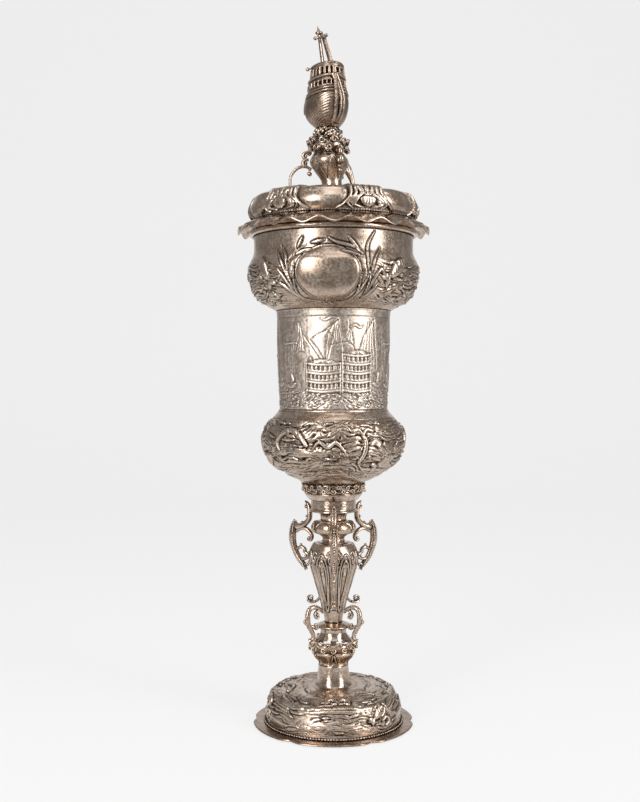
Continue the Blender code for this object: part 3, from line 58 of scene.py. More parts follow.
# The long swells of the chased sea, as the foot dome and the lower bowl have them
SWELL_HEIGHT = 0.7
SWELL_PITCH = 17.0
SWELL_DRIFT = 1.3
LOG = logging.getLogger("silver_standing_cup")

Point = tuple[float, float]
Outline = Sequence[Point]
Route = Sequence[tuple[float, ...]]
AddNode = Callable[..., bpy.types.Node]
Reshape = Callable[[np.ndarray], np.ndarray]


class Body(Enum):
    """The two moving bodies of the cup."""

    CUP = "cup"
    COVER = "cover"


class Working(Enum):
    """How a piece's surface was made, which sets its fine texture."""

    CHASED = "chased"
    TURNED = "turned"
    CAST = "cast"


def linear(hue: str) -> tuple[float, float, float, float]:
    """Turns an sRGB hex colour into linear light.

    Args:
        hue: A colour such as "#B8A594".

    Returns:
        Red, green, blue and an alpha of 1.
    """
    parts = (int(hue[i : i + 2], 16) / 255 for i in (1, 3, 5))
    red, green, blue = (p / 12.92 if p <= 0.04045 else ((p + 0.055) / 1.055) ** 2.4 for p in parts)
    return (red, green, blue, 1.0)


def add_node(
    tree: bpy.types.NodeTree, kind: str, inputs: dict[int | str, object] | None = None, **settings: object
) -> bpy.types.Node:
    """Adds a node with its settings, its input values and the links into it.

    Args:
        tree: The node tree.
        kind: The node's type name after "ShaderNode".
        inputs: For each input, a value, a socket, or a node that feeds it from its first output.
        **settings: Attributes of the node.

    Returns:
        The new node.
    """
    made = tree.nodes.new("ShaderNode" + kind)
    for name, value in settings.items():
        setattr(made, name, value)
    for key, value in (inputs or {}).items():
        if isinstance(value, bpy.types.Node):
            value = value.outputs[0]
        if isinstance(value, bpy.types.NodeSocket):
            tree.links.new(value, made.inputs[key])
        else:
            made.inputs[key].default_value = value
    return made


def blank_material(name: str) -> tuple[bpy.types.Material, AddNode]:
    """Makes a material with no nodes in it.

    Args:
        name: Its name.

    Returns:
        The material, and the function that adds a node to it.
    """
    material = bpy.data.materials.new(name)
    material.use_nodes = True
    material.node_tree.nodes.clear()
    return material, partial(add_node, material.node_tree)


def turning_lines(add: AddNode, around_axis: float, spacing: float) -> bpy.types.Node:
    """Adds the noise of fine lines that run round the axis.

    Args:
        add: Adds a node to the material.
        around_axis: Patches to the metre round the axis.
        spacing: Millimetres from line to line along it.

    Returns:
        The noise.
    """
    place = add("TexCoord").outputs["Object"]
    squeezed = add("Mapping", {"Vector": place, "Scale": (around_axis, around_axis, 1 / (spacing * MM))})
    return add("TexNoise", {"Vector": squeezed, "Scale": 1.0, "Detail": 2.0})


def end_as_metal(add: AddNode, colour: object, rough: bpy.types.Node, bump: bpy.types.Node) -> None:
    """Ends a material's nodes with a bare metal, from its colour, roughness and fine texture."""
    inputs = {"Base Color": colour, "Metallic": 1.0, "Roughness": rough, "Normal": bump}
    add("OutputMaterial", {"Surface": add("BsdfPrincipled", inputs)})


@dataclass(frozen=True)
class OxidisedSilver:
    """Old silver, polished by hand: bright on the high places, brown tarnish left in the hollows.

    The eye sees sharp soft-edged reflections on the crests, and lines that the polishing cloth
    never reaches as dark brown. Ambient occlusion darkens crevices and the gaps between crowded
    parts to the same brown: partly tarnish, partly painted shade.
    """

    name: str
    working: Working
    polished: str = "#CDBDAE"
    dulled: str = "#A48E7D"
    tarnish: str = "#241913"
    roughness: float = 0.27
    tool_marks: float = 0.12
    crevice_reach: float = 2.6

    def make(self) -> bpy.types.Material:
        """Builds the material.

        Returns:
            The silver, reading the attributes "hollow" and "crest" of a chased piece.
        """
        material, add = blank_material(self.name)
        place = add("TexCoord").outputs["Object"]
        hollow = add("Attribute", attribute_name="hollow").outputs["Fac"]
        crest = add("Attribute", attribute_name="crest").outputs["Fac"]
        # Painted shade, partly tarnish: ambient occlusion darkens crevices and gaps between parts towards the
        # tarnish colour
        shade = add("AmbientOcclusion", {"Distance": self.crevice_reach * MM}, samples=6)
        steps = {"From Min": 0.35, "From Max": 0.85, "To Min": 0.85, "To Max": 0.0}
        steps["Value"] = shade.outputs["AO"]
        crevice = add("MapRange", steps, interpolation_type="SMOOTHSTEP")
        # Tarnish in the chased hollows, together with the crevice darkening that is partly painted shade
        dark = add("Math", {0: hollow, 1: crevice}, operation="MAXIMUM")
        # Clouds of thin tarnish 9 mm across, and hand-rubbed blotches of 2 mm
        cloud = add("TexNoise", {"Vector": place, "Scale": 1 / (9 * MM), "Detail": 3.0})
        blotch = add("TexNoise", {"Vector": place, "Scale": 1 / (2 * MM), "Detail": 3.0})
        mottle = add("Math", {0: cloud, 1: blotch}, operation="MULTIPLY")
        bare = add("MapRange", {"Value": mottle, "From Min": 0.16, "From Max": 0.36})
        rubbed = add("Math", {0: bare, 1: crest}, operation="MAXIMUM")
        tones = {0: rubbed, 6: linear(self.dulled), 7: linear(self.polished)}
        metal = add("Mix", tones, data_type="RGBA").outputs[2]
        tones = {0: dark, 6: metal, 7: linear(self.tarnish)}
        colour = add("Mix", tones, data_type="RGBA").outputs[2]
        steps = {"Value": blotch, "From Min": 0.3, "From Max": 0.7}
        steps |= {"To Min": 0.8 * self.roughness, "To Max": 1.35 * self.roughness}
        rough = add("MapRange", steps)
        matt = add("Math", {0: dark, 1: 0.35, 2: rough}, operation="MULTIPLY_ADD")
        if self.working is Working.TURNED:
            # Polishing lines round the axis, 0.5 mm apart: finer ones don't show at this size
            grain = turning_lines(add, 60.0, 0.5)
        else:
            # Marks of the punches, 1.1 mm apart on chased work and 0.7 mm on castings
            spacing = 1.1 if self.working is Working.CHASED else 0.7
            grain = add("TexNoise", {"Vector": place, "Scale": 1 / (spacing * MM), "Detail": 2.0})
        bump = add("Bump", {"Height": grain, "Strength": self.tool_marks, "Distance": 0.3 * MM})
        end_as_metal(add, colour, matt, bump)
        return material


@dataclass(frozen=True)
class MachinedSteel:
    """Zinc-grey machined steel of the rod, nuts and washers: fine turning lines, no tarnish."""

    name: str = "machined_steel"
    colour: str = "#8E8B88"
    roughness: float = 0.34

    def make(self) -> bpy.types.Material:
        """Builds the material.

        Returns:
            The steel.
        """
        material, add = blank_material(self.name)
        # Turning lines 0.4 mm apart along the axis
        grain = turning_lines(add, 90.0, 0.4)
        steps = {"Value": grain, "To Min": 0.75 * self.roughness, "To Max": 1.3 * self.roughness}
        bump = add("Bump", {"Height": grain, "Strength": 0.2, "Distance": 0.1 * MM})
        end_as_metal(add, linear(self.colour), add("MapRange", steps), bump)
        return material


class Workshop:
    """Keeps one material of each finish, and links and logs each finished piece."""

    def __init__(self) -> None:
        """Makes the finishes; the first pieces ride on the cup."""
        self.body = Body.CUP
        self.chased = OxidisedSilver("chased_silver", Working.CHASED).make()
        # The drum is scoured rather than burnished: it shines more broadly, and its lines hold less tarnish.
        # Its lighter colours are painted light, standing in for the broad light across it
        self.drum = OxidisedSilver(
            "matt_chased_silver", Working.CHASED, polished="#DFD3C8", dulled="#B5A495", roughness=0.37
        ).make()
        # Burnished on the lathe: the sharpest reflections
        self.turned = OxidisedSilver("turned_silver", Working.TURNED, roughness=0.17, tool_marks=0.25).make()
        self.cast = OxidisedSilver(
            "cast_silver", Working.CAST, roughness=0.23, tool_marks=0.3, crevice_reach=4.0
        ).make()
        # Knops, wreath and leaf collar: lighter colours that paint light onto them against the shade they sit
        # in, with tarnish and painted shade only deep between the curls
        self.curls = OxidisedSilver(
            "bright_cast_silver", Working.CAST, "#D8C3AF", "#B19A85", roughness=0.25, crevice_reach=1.5
        ).make()
        # Seldom polished: brown all over
        self.ship = OxidisedSilver("brown_cast_silver", Working.CAST, "#B6A292", "#8E7969").make()
        self.steel = MachinedSteel().make()

    def finish(self, name: str, mesh: bpy.types.Mesh, material: bpy.types.Material, node: str) -> None:
        """Links a finished mesh as a named piece that stands for a CAD node.

        Args:
            name: The piece's name.
            mesh: Its mesh, in place, in metres.
            material: Its finish.
            node: The CAD node that it replaces, which it hides.
        """
        piece = bpy.data.objects.new(name, mesh)
        bpy.context.scene.collection.objects.link(piece)
        mesh.materials.clear()
        mesh.materials.append(material)
        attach(piece, self.body.value)
        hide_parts(node)
        LOG.info("%s: %d faces on %s", name, len(mesh.polygons), self.body.value)


@lru_cache(maxsize=None)
def level(node: str, share: float = 0.0) -> float:
    """Gives a height in millimetres beside a CAD node: its foot at 0, its top at a share of 1."""
    low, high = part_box(node)
    return (low[2] + share * (high[2] - low[2])) / MM


def swung(turn: float, points: Route, scale: float = 1.0) -> list[Point]:
    """Swings a pattern's points round the cup by degrees, their places times the scale."""
    return [(turn + angle, scale * place) for angle, place in points]


def merge(bm: bmesh.types.BMesh, reach: float) -> None:
    """Merges the points of a bmesh that touch and turns its faces outwards."""
    bmesh.ops.remove_doubles(bm, verts=bm.verts, dist=reach)
    bmesh.ops.recalc_face_normals(bm, faces=bm.faces)


def spun(corners: Outline, steps: int) -> bmesh.types.BMesh:
    """Spins a closed outline round the axis.

    Args:
        corners: Radius and height of each corner.
        steps: Steps round the axis.

    Returns:
        The ring, in the unit of its corners.
    """
    bm = bmesh.new()
    verts = [bm.verts.new((0.0, radius, height)) for radius, height in corners]
    edges = [bm.edges.new(pair) for pair in zip(verts, verts[1:] + verts[:1])]
    circle = {"cent": (0, 0, 0), "axis": (0, 0, 1), "angle": 2 * math.pi, "steps": steps, "use_merge": True}
    bmesh.ops.spin(bm, geom=verts + edges, **circle)
    merge(bm, 0.0001)
    return bm


def polar(place: Vector) -> Point:
    """Gives a point's distance from the axis and its angle in degrees from the front."""
    return math.hypot(place.x, place.y), math.degrees(math.atan2(place.x, -place.y))


def closed_mesh(bm: bmesh.types.BMesh, name: str, scale: float = 1.0) -> bpy.types.Mesh:
    """Turns a bmesh into a mesh and frees it.

    Args:
        bm: The bmesh.
        name: The mesh's name.
        scale: What its sizes are multiplied by.

    Returns:
        The mesh, shaded smooth.
    """
    if scale != 1.0:
        bmesh.ops.scale(bm, vec=(scale, scale, scale), verts=bm.verts)
    mesh = bpy.data.meshes.new(name)
    bm.to_mesh(mesh)
    bm.free()
    mesh.shade_smooth()
    return mesh


def smooth_route(points: Route, steps: int) -> list[tuple[float, ...]]:
    """Puts a smooth curve through points.

    Args:
        points: Points of any one length.
        steps: Steps between one point and the next.

    Returns:
        The points on the curve.
    """
    found = []
    last = len(points) - 1
    for i in range(last):
        before, start, end, after = (points[max(0, min(last, i + k))] for k in (-1, 0, 1, 2))
        for step in range(steps):
            t = step / steps
            near = zip(before, start, end, after)
            parts = [(c - a, 2 * a - 5 * b + 4 * c - d, 3 * b - a - 3 * c + d, b) for a, b, c, d in near]
            found.append(tuple(b + 0.5 * t * (p + t * q + t * t * r) for p, q, r, b in parts))
    found.append(tuple(points[last]))
    return found


def travelled(x: np.ndarray, y: np.ndarray) -> np.ndarray:
    """Gives how far along a line each of its points is."""
    return np.concatenate(([0.0], np.cumsum(np.hypot(np.diff(x), np.diff(y)))))


def evenly(points: Route, count: int) -> np.ndarray:
    """Respaces the points of a run evenly along it.

    Args:
        points: The run's points.
        count: How many points to give.

    Returns:
        An array with a row for each point.
    """
    run = np.array(points, dtype=float)
    steps = np.sqrt((np.diff(run, axis=0) ** 2).sum(axis=1))
    reach = np.concatenate(([0.0], np.cumsum(steps)))
    wanted = np.linspace(0.0, reach[-1], count)
    return np.stack([np.interp(wanted, reach, run[:, k]) for k in range(run.shape[1])], axis=1)


class PlacedBy(Enum):
    """What the second number of a place on a turned surface is."""

    HEIGHT = "height"
    RUN = "run"


class Relief:
    """Chased work on a turned surface: a height in millimetres at each row and column."""

    def __init__(self, run: np.ndarray, columns: int, placed_by: PlacedBy, seed: int) -> None:
        """Starts with a plain surface.

        Args:
            run: Radius and height of each row, from the top down.
            columns: Columns round the axis, from the back.
            placed_by: What the second number of a place is.
            seed: Start of the piece's own random numbers.
        """
        self.radius = run[:, 0]
        self.level = run[:, 1]
        self.along = travelled(self.radius, self.level)
        self.columns = columns
        self.pitch = 360.0 / columns
        self.turn = np.arange(columns) * self.pitch - 180.0
        self.height = np.zeros((len(run), columns))
        self.placed_by = placed_by
        self.random = np.random.default_rng(seed)

    def run_at(self, place: float) -> float:
        """Gives how far along the run a place is."""
        return place if self.placed_by is PlacedBy.RUN else float(np.interp(-place, -self.level, self.along))

    def path(self, points: Outline, closed: bool = False, smooth: bool = True) -> np.ndarray:
        """Lays a line over the surface.

        Args:
            points: Angles and places.
            closed: Whether the line comes back to its start.
            smooth: Whether it is a smooth curve.

        Returns:
            Points half a millimetre apart: angle in degrees, distance along the run.
        """
        seated = [(angle, self.run_at(place)) for angle, place in points]
        if closed:
            seated.append(seated[0])
        if smooth and len(seated) > 2:
            if closed:
                seated = smooth_route(seated[-2:-1] + seated + seated[1:2], 8)[8:-8]
            else:
                seated = smooth_route(seated, 8)
        line = np.array(seated)
        radius = np.interp(line[:, 1], self.along, self.radius)
        steps = travelled(np.radians(line[:, 0]) * radius.mean(), line[:, 1])
        wanted = np.linspace(0.0, steps[-1], max(3, int(steps[-1] / 0.5) + 1))
        return np.column_stack([np.interp(wanted, steps, line[:, k]) for k in (0, 1)])

    def near(self, line: np.ndarray, reach: float) -> tuple[tuple, np.ndarray, np.ndarray]:
        """Measures from a line to the surface round it.

        Args:
            line: The line's points.
            reach: How far to look.

        Returns:
            The spot on the grid, empty off the surface, the distance from the line there, and the
            share along the line of its nearest point.
        """
        top, bottom = line[:, 1].min() - reach, line[:, 1].max() + reach
        rows = np.nonzero((self.along > top) & (self.along < bottom))[0]
        radius = self.radius[rows]
        swing = math.degrees(reach / max(2.0, radius.min(initial=self.radius.max())))
        first = math.ceil((line[:, 0].min() - swing + 180.0) / self.pitch)
        last = math.floor((line[:, 0].max() + swing + 180.0) / self.pitch)
        columns = np.arange(first, max(last, first) + 1)
        turn = np.radians(columns * self.pitch - 180.0)
        across = (turn[None, :, None] - np.radians(line[:, 0])[None, None, :]) * radius[:, None, None]
        down = self.along[rows][:, None, None] - line[:, 1][None, None, :]
        square = across**2 + down**2
        nearest = square.argmin(axis=2)
        away = np.sqrt(np.take_along_axis(square, nearest[:, :, None], axis=2)[:, :, 0])
        return np.ix_(rows, columns % self.columns), away, nearest / (len(line) - 1)

    def stroke(
        self,
        points: Outline | np.ndarray,
        width: float,
        height: float,
        taper: tuple[float, float] = (0.3, 0.3),
        vein: float = 0.0,
        sunk: float = 0.25,
        closed: bool = False,
    ) -> None:
        """Raises a rounded ridge along a line, with a fine sunk line round it.

        Args:
            points: The line's angles and places, or a line that is laid already.
            width: Its half width.
            height: How far it stands out.
            taper: Its width at the start and end, as shares of its full width.
            vein: Depth of a groove down its middle.
            sunk: Depth of the line pressed round it.
            closed: Whether it is a closed loop.
        """
        line = points if isinstance(points, np.ndarray) else self.path(points, closed)
        spot, away, share = self.near(line, width + 1.6)
        start, end = taper
        ends = start + (end - start) * share
        swell = np.ones_like(share) if closed else ends + (1 - ends) * np.sin(np.pi * np.clip(share, 0, 1))
        wide = width * swell
        inside = np.clip(1 - (away / np.maximum(wide, 0.05)) ** 2, 0.0, 1.0)
        shape = height * np.sqrt(inside) * (0.45 + 0.55 * wide / width)
        shape -= vein * np.exp(-((away / (0.28 * np.maximum(wide, 0.2))) ** 2)) * (inside > 0)
        cover = np.clip(3.0 * inside, 0.0, 1.0)
        ring = np.exp(-(((away - wide - 0.45) / 0.5) ** 2)) * (1 - cover)
        here = self.height[spot]
        self.height[spot] = np.where(inside > 0, np.maximum(here * (1 - cover), shape), here) - sunk * ring

    def groove(self, points: Outline, width: float, depth: float, closed: bool = False) -> None:
        """Sinks a line of angles and places into the surface, to a half width and a depth."""
        spot, away, _ = self.near(self.path(points, closed), 2.5 * width)
        self.height[spot] -= depth * np.exp(-((away / width) ** 2))

    def patch(
        self, points: Outline, height: float, rim: float = 1.2, smooth: bool = True, sunk: float = 0.3
    ) -> None:
        """Raises a closed shape with rounded edges.

        Args:
            points: The shape's corners, as angles and places.
            height: How far it stands out.
            rim: Width of its rounded edge.
            smooth: Whether its outline is a smooth curve.
            sunk: Depth of the line pressed round it.
        """
        line = self.path(points, closed=True, smooth=smooth)
        spot, away, _ = self.near(line, 2.0)
        rows, columns = spot
        turn = columns[0] * self.pitch - 180.0
        middle = 0.5 * (line[:, 0].min() + line[:, 0].max())
        turn = middle + (turn - middle + 180.0) % 360.0 - 180.0
        down = self.along[rows[:, 0]]
        inside = np.zeros(away.shape, dtype=bool)
        for (a, b), (c, d) in zip(line, np.roll(line, -1, axis=0)):
            if b == d:
                continue
            crossed = (b > down) != (d > down)
            edge = a + (c - a) * (down - b) / (d - b)
            inside ^= crossed[:, None] & (turn[None, :] < edge[:, None])
        shape = height * np.sqrt(np.clip(1 - (1 - np.clip(away / rim, 0.0, 1.0)) ** 2, 0.0, 1.0))
        ring = np.exp(-((away / 0.55) ** 2)) * ~inside
        here = self.height[spot]
        self.height[spot] = np.where(inside, np.maximum(0.0, shape), here) - sunk * ring

    def window(self, angle: float, place: float, wide: float, tall: float, depth: float) -> None:
        """Sinks a small opening with a raised frame round it.

        Args:
            angle: Where its middle is.
            place: Where its middle is.
            wide: Its width in millimetres.
            tall: Its height.
            depth: Its depth.
        """
        off = (self.turn - angle + 180.0) % 360.0 - 180.0
        across = np.abs(np.radians(off))[None, :] * self.radius[:, None] - 0.5 * wide
        down = np.abs(self.along - self.run_at(place))[:, None] - 0.5 * tall
        out = np.maximum(across, down)
        self.height -= depth * np.clip(0.5 - out / 0.6, 0, 1)
        self.height += 0.4 * np.exp(-(((out - 0.65) / 0.4) ** 2))

    def dot(self, angle: float, place: float, radius: float, height: float) -> None:
        """Raises a round bead, or sinks one where the height is below zero."""
        spot, away, _ = self.near(np.array([(angle, self.run_at(place) + by) for by in (0, 0.001)]), radius)
        self.height[spot] += height * np.sqrt(np.clip(1 - (away / radius) ** 2, 0.0, 1.0))

    def noise(self, across: float, along: float) -> np.ndarray:
        """Gives smooth random numbers over the surface.

        Args:
            across: Size of a patch round the axis.
            along: Size of a patch along the run.

        Returns:
            A number from -1 to 1 for each row and column.
        """
        around = max(4, round(2 * math.pi * self.radius.mean() / across))
        down = max(2, math.ceil(self.along[-1] / along) + 1)
        values = self.random.uniform(-1.0, 1.0, (down + 1, around))
        x = (self.turn + 180.0) / 360.0 * around
        y = self.along / along
        left, top = np.floor(x).astype(int), np.minimum(np.floor(y).astype(int), down - 1)
        fx, fy = x - left, np.clip(y - top, 0.0, 1.0)
        fx, fy = fx * fx * (3 - 2 * fx), (fy * fy * (3 - 2 * fy))[:, None]
        rows = values[:, left % around] * (1 - fx) + values[:, (left + 1) % around] * fx
        return rows[top] * (1 - fy) + rows[top + 1] * fy

    def band(self, high: float, low: float, edge: float = 2.0) -> np.ndarray:
        """Gives 1 between two places and 0 outside them, with soft edges, as a column."""
        top, end = sorted((self.run_at(high), self.run_at(low)))
        return (np.clip((self.along - top) / edge, 0, 1) * np.clip((end - self.along) / edge, 0, 1))[:, None]

    def swells(self, high: float, low: float) -> None:
        """Raises the long waves of the CAD solid, from one distance off its top to one off its end."""
        fade = np.clip(np.minimum(self.along - high, self.along[-1] - low - self.along) / 7.0, 0, 1)
        self.height += fade[:, None] * SWELL_HEIGHT * np.sin(2 * np.pi * self.flow())

    def flow(self, spacing: float = SWELL_PITCH) -> np.ndarray:
        """Draws waves that drift up and down round the cup.

        Args:
            spacing: Distance from one crest to the next.

        Returns:
            Their phase, 1 from each crest to the next.
        """
        angle, along = np.radians(self.turn)[None, :], self.along[:, None]
        drift = np.sin(4 * angle + 1.0) + np.sin(3 * angle - along / SWELL_PITCH)
        return (along + SWELL_PITCH * SWELL_DRIFT / (2 * np.pi) * drift) / spacing

    def sea(self, high: float, low: float, spacing: float, height: float, wander: float = 0.9) -> np.ndarray:
        """Covers a band with long flowing waves, parted by narrow chased lines.

        Args:
            high: The band's upper place.
            low: Its lower place.
            spacing: Distance from one line to the next.
            height: Depth of the lines.
            wander: How far the lines stray from the swells, in line spacings.

        Returns:
            The phase of the lines, 1 from each to the next.
        """
        stray = self.noise(19.0, 10.0) + 0.6 * self.noise(9.0, 6.0) + 0.15 * self.noise(4.0, 3.0)
        phase = self.flow(spacing) + wander * stray
        across = np.mod(phase, 1.0)
        lines = np.exp(-((np.minimum(across, 1 - across) / 0.17) ** 2))
        cut = np.clip(0.55 + 1.3 * self.noise(9.0, 2.2), 0.0, 1.0)
        belly = np.sqrt(np.clip(1 - (2 * across - 1) ** 2, 0, 1))
        belly *= np.clip(0.4 + 0.7 * self.noise(9.0, 3.0), 0, 1)
        self.height += self.band(high, low) * height * (0.7 * belly - lines * cut)
        return phase

    def wavelets(self, phase: np.ndarray, high: float, low: float, count: int, size: Sequence[float]) -> None:
        """Scatters flame-like crests over a band; each follows the sea's lines and curls up at its end.

        Args:
            phase: The phase of the sea's lines.
            high: The band's upper place.
            low: Its lower place.
            count: How many.
            size: Length of one, before it is varied, its half width, and how far it stands out.
        """
        length, width, height = size
        down, about = np.gradient(phase, self.along, np.radians(self.pitch))
        start, end = sorted((self.run_at(high), self.run_at(low)))
        for i in range(count):
            angle = -180.0 + 360.0 * (i + 0.4 * self.random.uniform(-1, 1)) / count
            place = start + (end - start) * ((i * 0.618034 + 0.08 * self.random.uniform(-1, 1)) % 1.0)
            way = self.random.choice((-1.0, 1.0))
            long = length * self.random.uniform(0.55, 1.35)
            curl = self.random.uniform(0.6, 2.6)
            line = []
            for step in range(13):
                row = min(len(self.along) - 1, int(np.searchsorted(self.along, place)))
                column = round((angle + 180.0) / self.pitch) % self.columns
                hook = curl * max(0.0, step / 12 - 0.7) ** 2 * 10
                line.append((angle, place - hook))
                swing = way * long / 12 / self.radius[row]
                slope = about[row, column] / max(0.05, abs(down[row, column]))
                place = min(end, max(start, place - float(np.clip(slope * swing, -0.9, 0.9))))
                angle += math.degrees(swing)
            wide = width * self.random.uniform(0.7, 1.25)
            self.stroke(np.array(line), wide, height, (0.05, 0.25), sunk=0.3)

    def fish(self, angle: float, place: float, length: float, heading: float, height: float = 1.5) -> None:
        """Chases a fish: a round body with gill and eye, fins and a forked tail.

        Args:
            angle: Where its middle is.
            place: Where its middle is.
            length: Its length, in millimetres.
            heading: Which way its head points, in degrees up from the right.
            height: How far it stands out.
        """
        radius = float(np.interp(self.run_at(place), self.along, self.radius))
        cos, sin = math.cos(math.radians(heading)), math.sin(math.radians(heading))
        up = -1.0 if self.placed_by is PlacedBy.RUN else 1.0

        def at(x: float, y: float) -> Point:
            """Gives a place from lengths along and across the fish."""
            x, y = x * length, y * length
            return (angle + math.degrees((x * cos - y * sin) / radius), place + up * (x * sin + y * cos))

        body = [at(0.5, 0.02), at(0.3, 0.17), at(0.05, 0.2), at(-0.2, 0.11), at(-0.33, 0.03)]
        body += [at(-0.33, -0.04), at(-0.15, -0.14), at(0.1, -0.18), at(0.35, -0.13)]
        self.patch(body, height, rim=0.16 * length, sunk=0.8)
        for tip in (0.17, -0.19):
            tail = [at(-0.3, 0.0), at(-0.42, 0.4 * tip), at(-0.52, tip)]
            self.stroke(tail, 0.09 * length, 0.8 * height, (0.4, 0.3))
        self.stroke([at(0.12, 0.15), at(0.0, 0.27), at(-0.14, 0.28)], 0.05 * length, 0.7 * height, (0.7, 0.1))
        self.groove([at(0.26, 0.13), at(0.2, 0.0), at(0.25, -0.12)], 0.35, 0.5)
        for x in (0.1, 0.0, -0.1):
            self.groove([at(x, 0.09), at(x - 0.04, 0.0), at(x, -0.08)], 0.3, 0.25)
        self.dot(*at(0.37, 0.04), 0.9, 0.5)

    def cavity(self, reach: float = 1.6) -> np.ndarray:
        """Compares the surface with its own soft average.

        Args:
            reach: Radius of the average.

        Returns:
            How far the average is above the surface.
        """
        soft = self.height
        down = max(1, round(reach / max(1e-6, self.along[-1]) * (len(self.along) - 1)))
        about = max(1, round(reach / (2 * math.pi * self.radius.mean()) * self.columns))
        # An average down the columns, then along the rows, each turned over for the next
        for half, mode in ((down, "edge"), (about, "wrap")) * 2:
            padded = np.pad(soft, ((half, half), (0, 0)), mode=mode)
            sums = np.cumsum(np.pad(padded, ((1, 0), (0, 0))), axis=0)
            soft = ((sums[2 * half + 1 :] - sums[: -2 * half - 1]) / (2 * half + 1)).T
        return soft - self.height


@dataclass
class Turned:
    """A piece turned or raised on the axis.

    The outline gives the radius at each share of the piece's height, from its top down.
    """

    node: str
    outline: Outline
    bore: float = 2.8
    wall: float = 0.0
    columns: int = 96
    rows: int = 24
    bend: int = 6
    placed_by: PlacedBy = PlacedBy.HEIGHT
    seed: int = 1
    dirt: float = 1.0
    run: np.ndarray = field(init=False)
    slope: np.ndarray = field(init=False)
    relief: Relief = field(init=False)

    def __post_init__(self) -> None:
        """Works out the run, its slope and a plain relief."""
        points = [(radius, level(self.node, share)) for radius, share in self.outline]
        if self.bend > 1:
            points = smooth_route(points, self.bend)
        self.run = evenly(points, self.rows)
        slope = np.gradient(self.run, axis=0)
        self.slope = slope / np.maximum(1e-9, np.hypot(slope[:, 0], slope[:, 1]))[:, None]
        self.relief = Relief(self.run, self.columns, self.placed_by, self.seed)

    def inside(self) -> list[Point]:
        """Gives the inner side, from the foot up to the top.

        Returns:
            Radii and heights.
        """
        if not self.wall:
            return [(self.bore, self.run[-1, 1]), (self.bore, self.run[0, 1])]
        inner = self.run + self.wall * np.column_stack((self.slope[:, 1], -self.slope[:, 0]))
        inner[0] = (self.run[0, 0] - self.wall, self.run[0, 1])
        inner[-1] = (self.run[-1, 0] - self.wall, self.run[-1, 1])
        picked = np.unique(np.linspace(0, self.rows - 1, 9).round().astype(int))
        return [tuple(inner[i]) for i in picked[::-1]]

    def mesh(self, shape: Reshape | None = None) -> bpy.types.Mesh:
        """Wraps a grid round the outline and stands the relief out of it.

        Args:
            shape: A last change to the points, in millimetres.

        Returns:
            The mesh, in metres.
        """
        outline = np.vstack((self.run, np.array(self.inside()), self.run[:1]))
        last = len(outline) - 1
        bm = bmesh.new()
        bmesh.ops.create_grid(bm, x_segments=self.columns, y_segments=last, size=0.5)
        made = bpy.data.meshes.new(self.node)
        bm.to_mesh(made)
        points = np.empty(3 * len(made.vertices))
        made.vertices.foreach_get("co", points)
        shares = points.reshape(-1, 3) + 0.5
        column = np.round(shares[:, 0] * self.columns).astype(int) % self.columns
        row = np.round(shares[:, 1] * last).astype(int)
        points = self.stood_out(made, outline, row, column)
        if shape:
            points = shape(points)
        made.vertices.foreach_set("co", (points * MM).ravel())
        bm.clear()
        bm.from_mesh(made)
        merge(bm, 0.0001 * MM)
        bm.to_mesh(made)
        bm.free()
        made.shade_smooth()
        return made

    def stood_out(
        self, made: bpy.types.Mesh, outline: np.ndarray, row: np.ndarray, column: np.ndarray
    ) -> np.ndarray:
        """Bends a flat grid round the axis, raises its outer side and marks its hollows and crests.

        Args:
            made: The grid's mesh.
            outline: The closed outline.
            row: Each point's row on the outline.
            column: Each point's column.

        Returns:
            The points, in millimetres.
        """
        outer = (row < self.rows) | (row == len(outline) - 1)
        seat = np.where(row < self.rows, row, 0)
        height = np.where(outer, self.relief.height[seat, column], 0.0)
        radius = outline[row, 0] - self.slope[seat, 1] * height
        level_there = outline[row, 1] + self.slope[seat, 0] * height
        turn = np.radians(self.relief.turn[column])
        cavity = self.relief.cavity()[seat, column] * outer
        marks = {"hollow": self.dirt * np.clip(cavity / 0.36, 0, 1), "crest": np.clip(-cavity / 0.4, 0, 1)}
        for name, values in marks.items():
            made.attributes.new(name, "FLOAT", "POINT").data.foreach_set("value", values.astype(np.float32))
        return np.column_stack((radius * np.sin(turn), -radius * np.cos(turn), level_there))


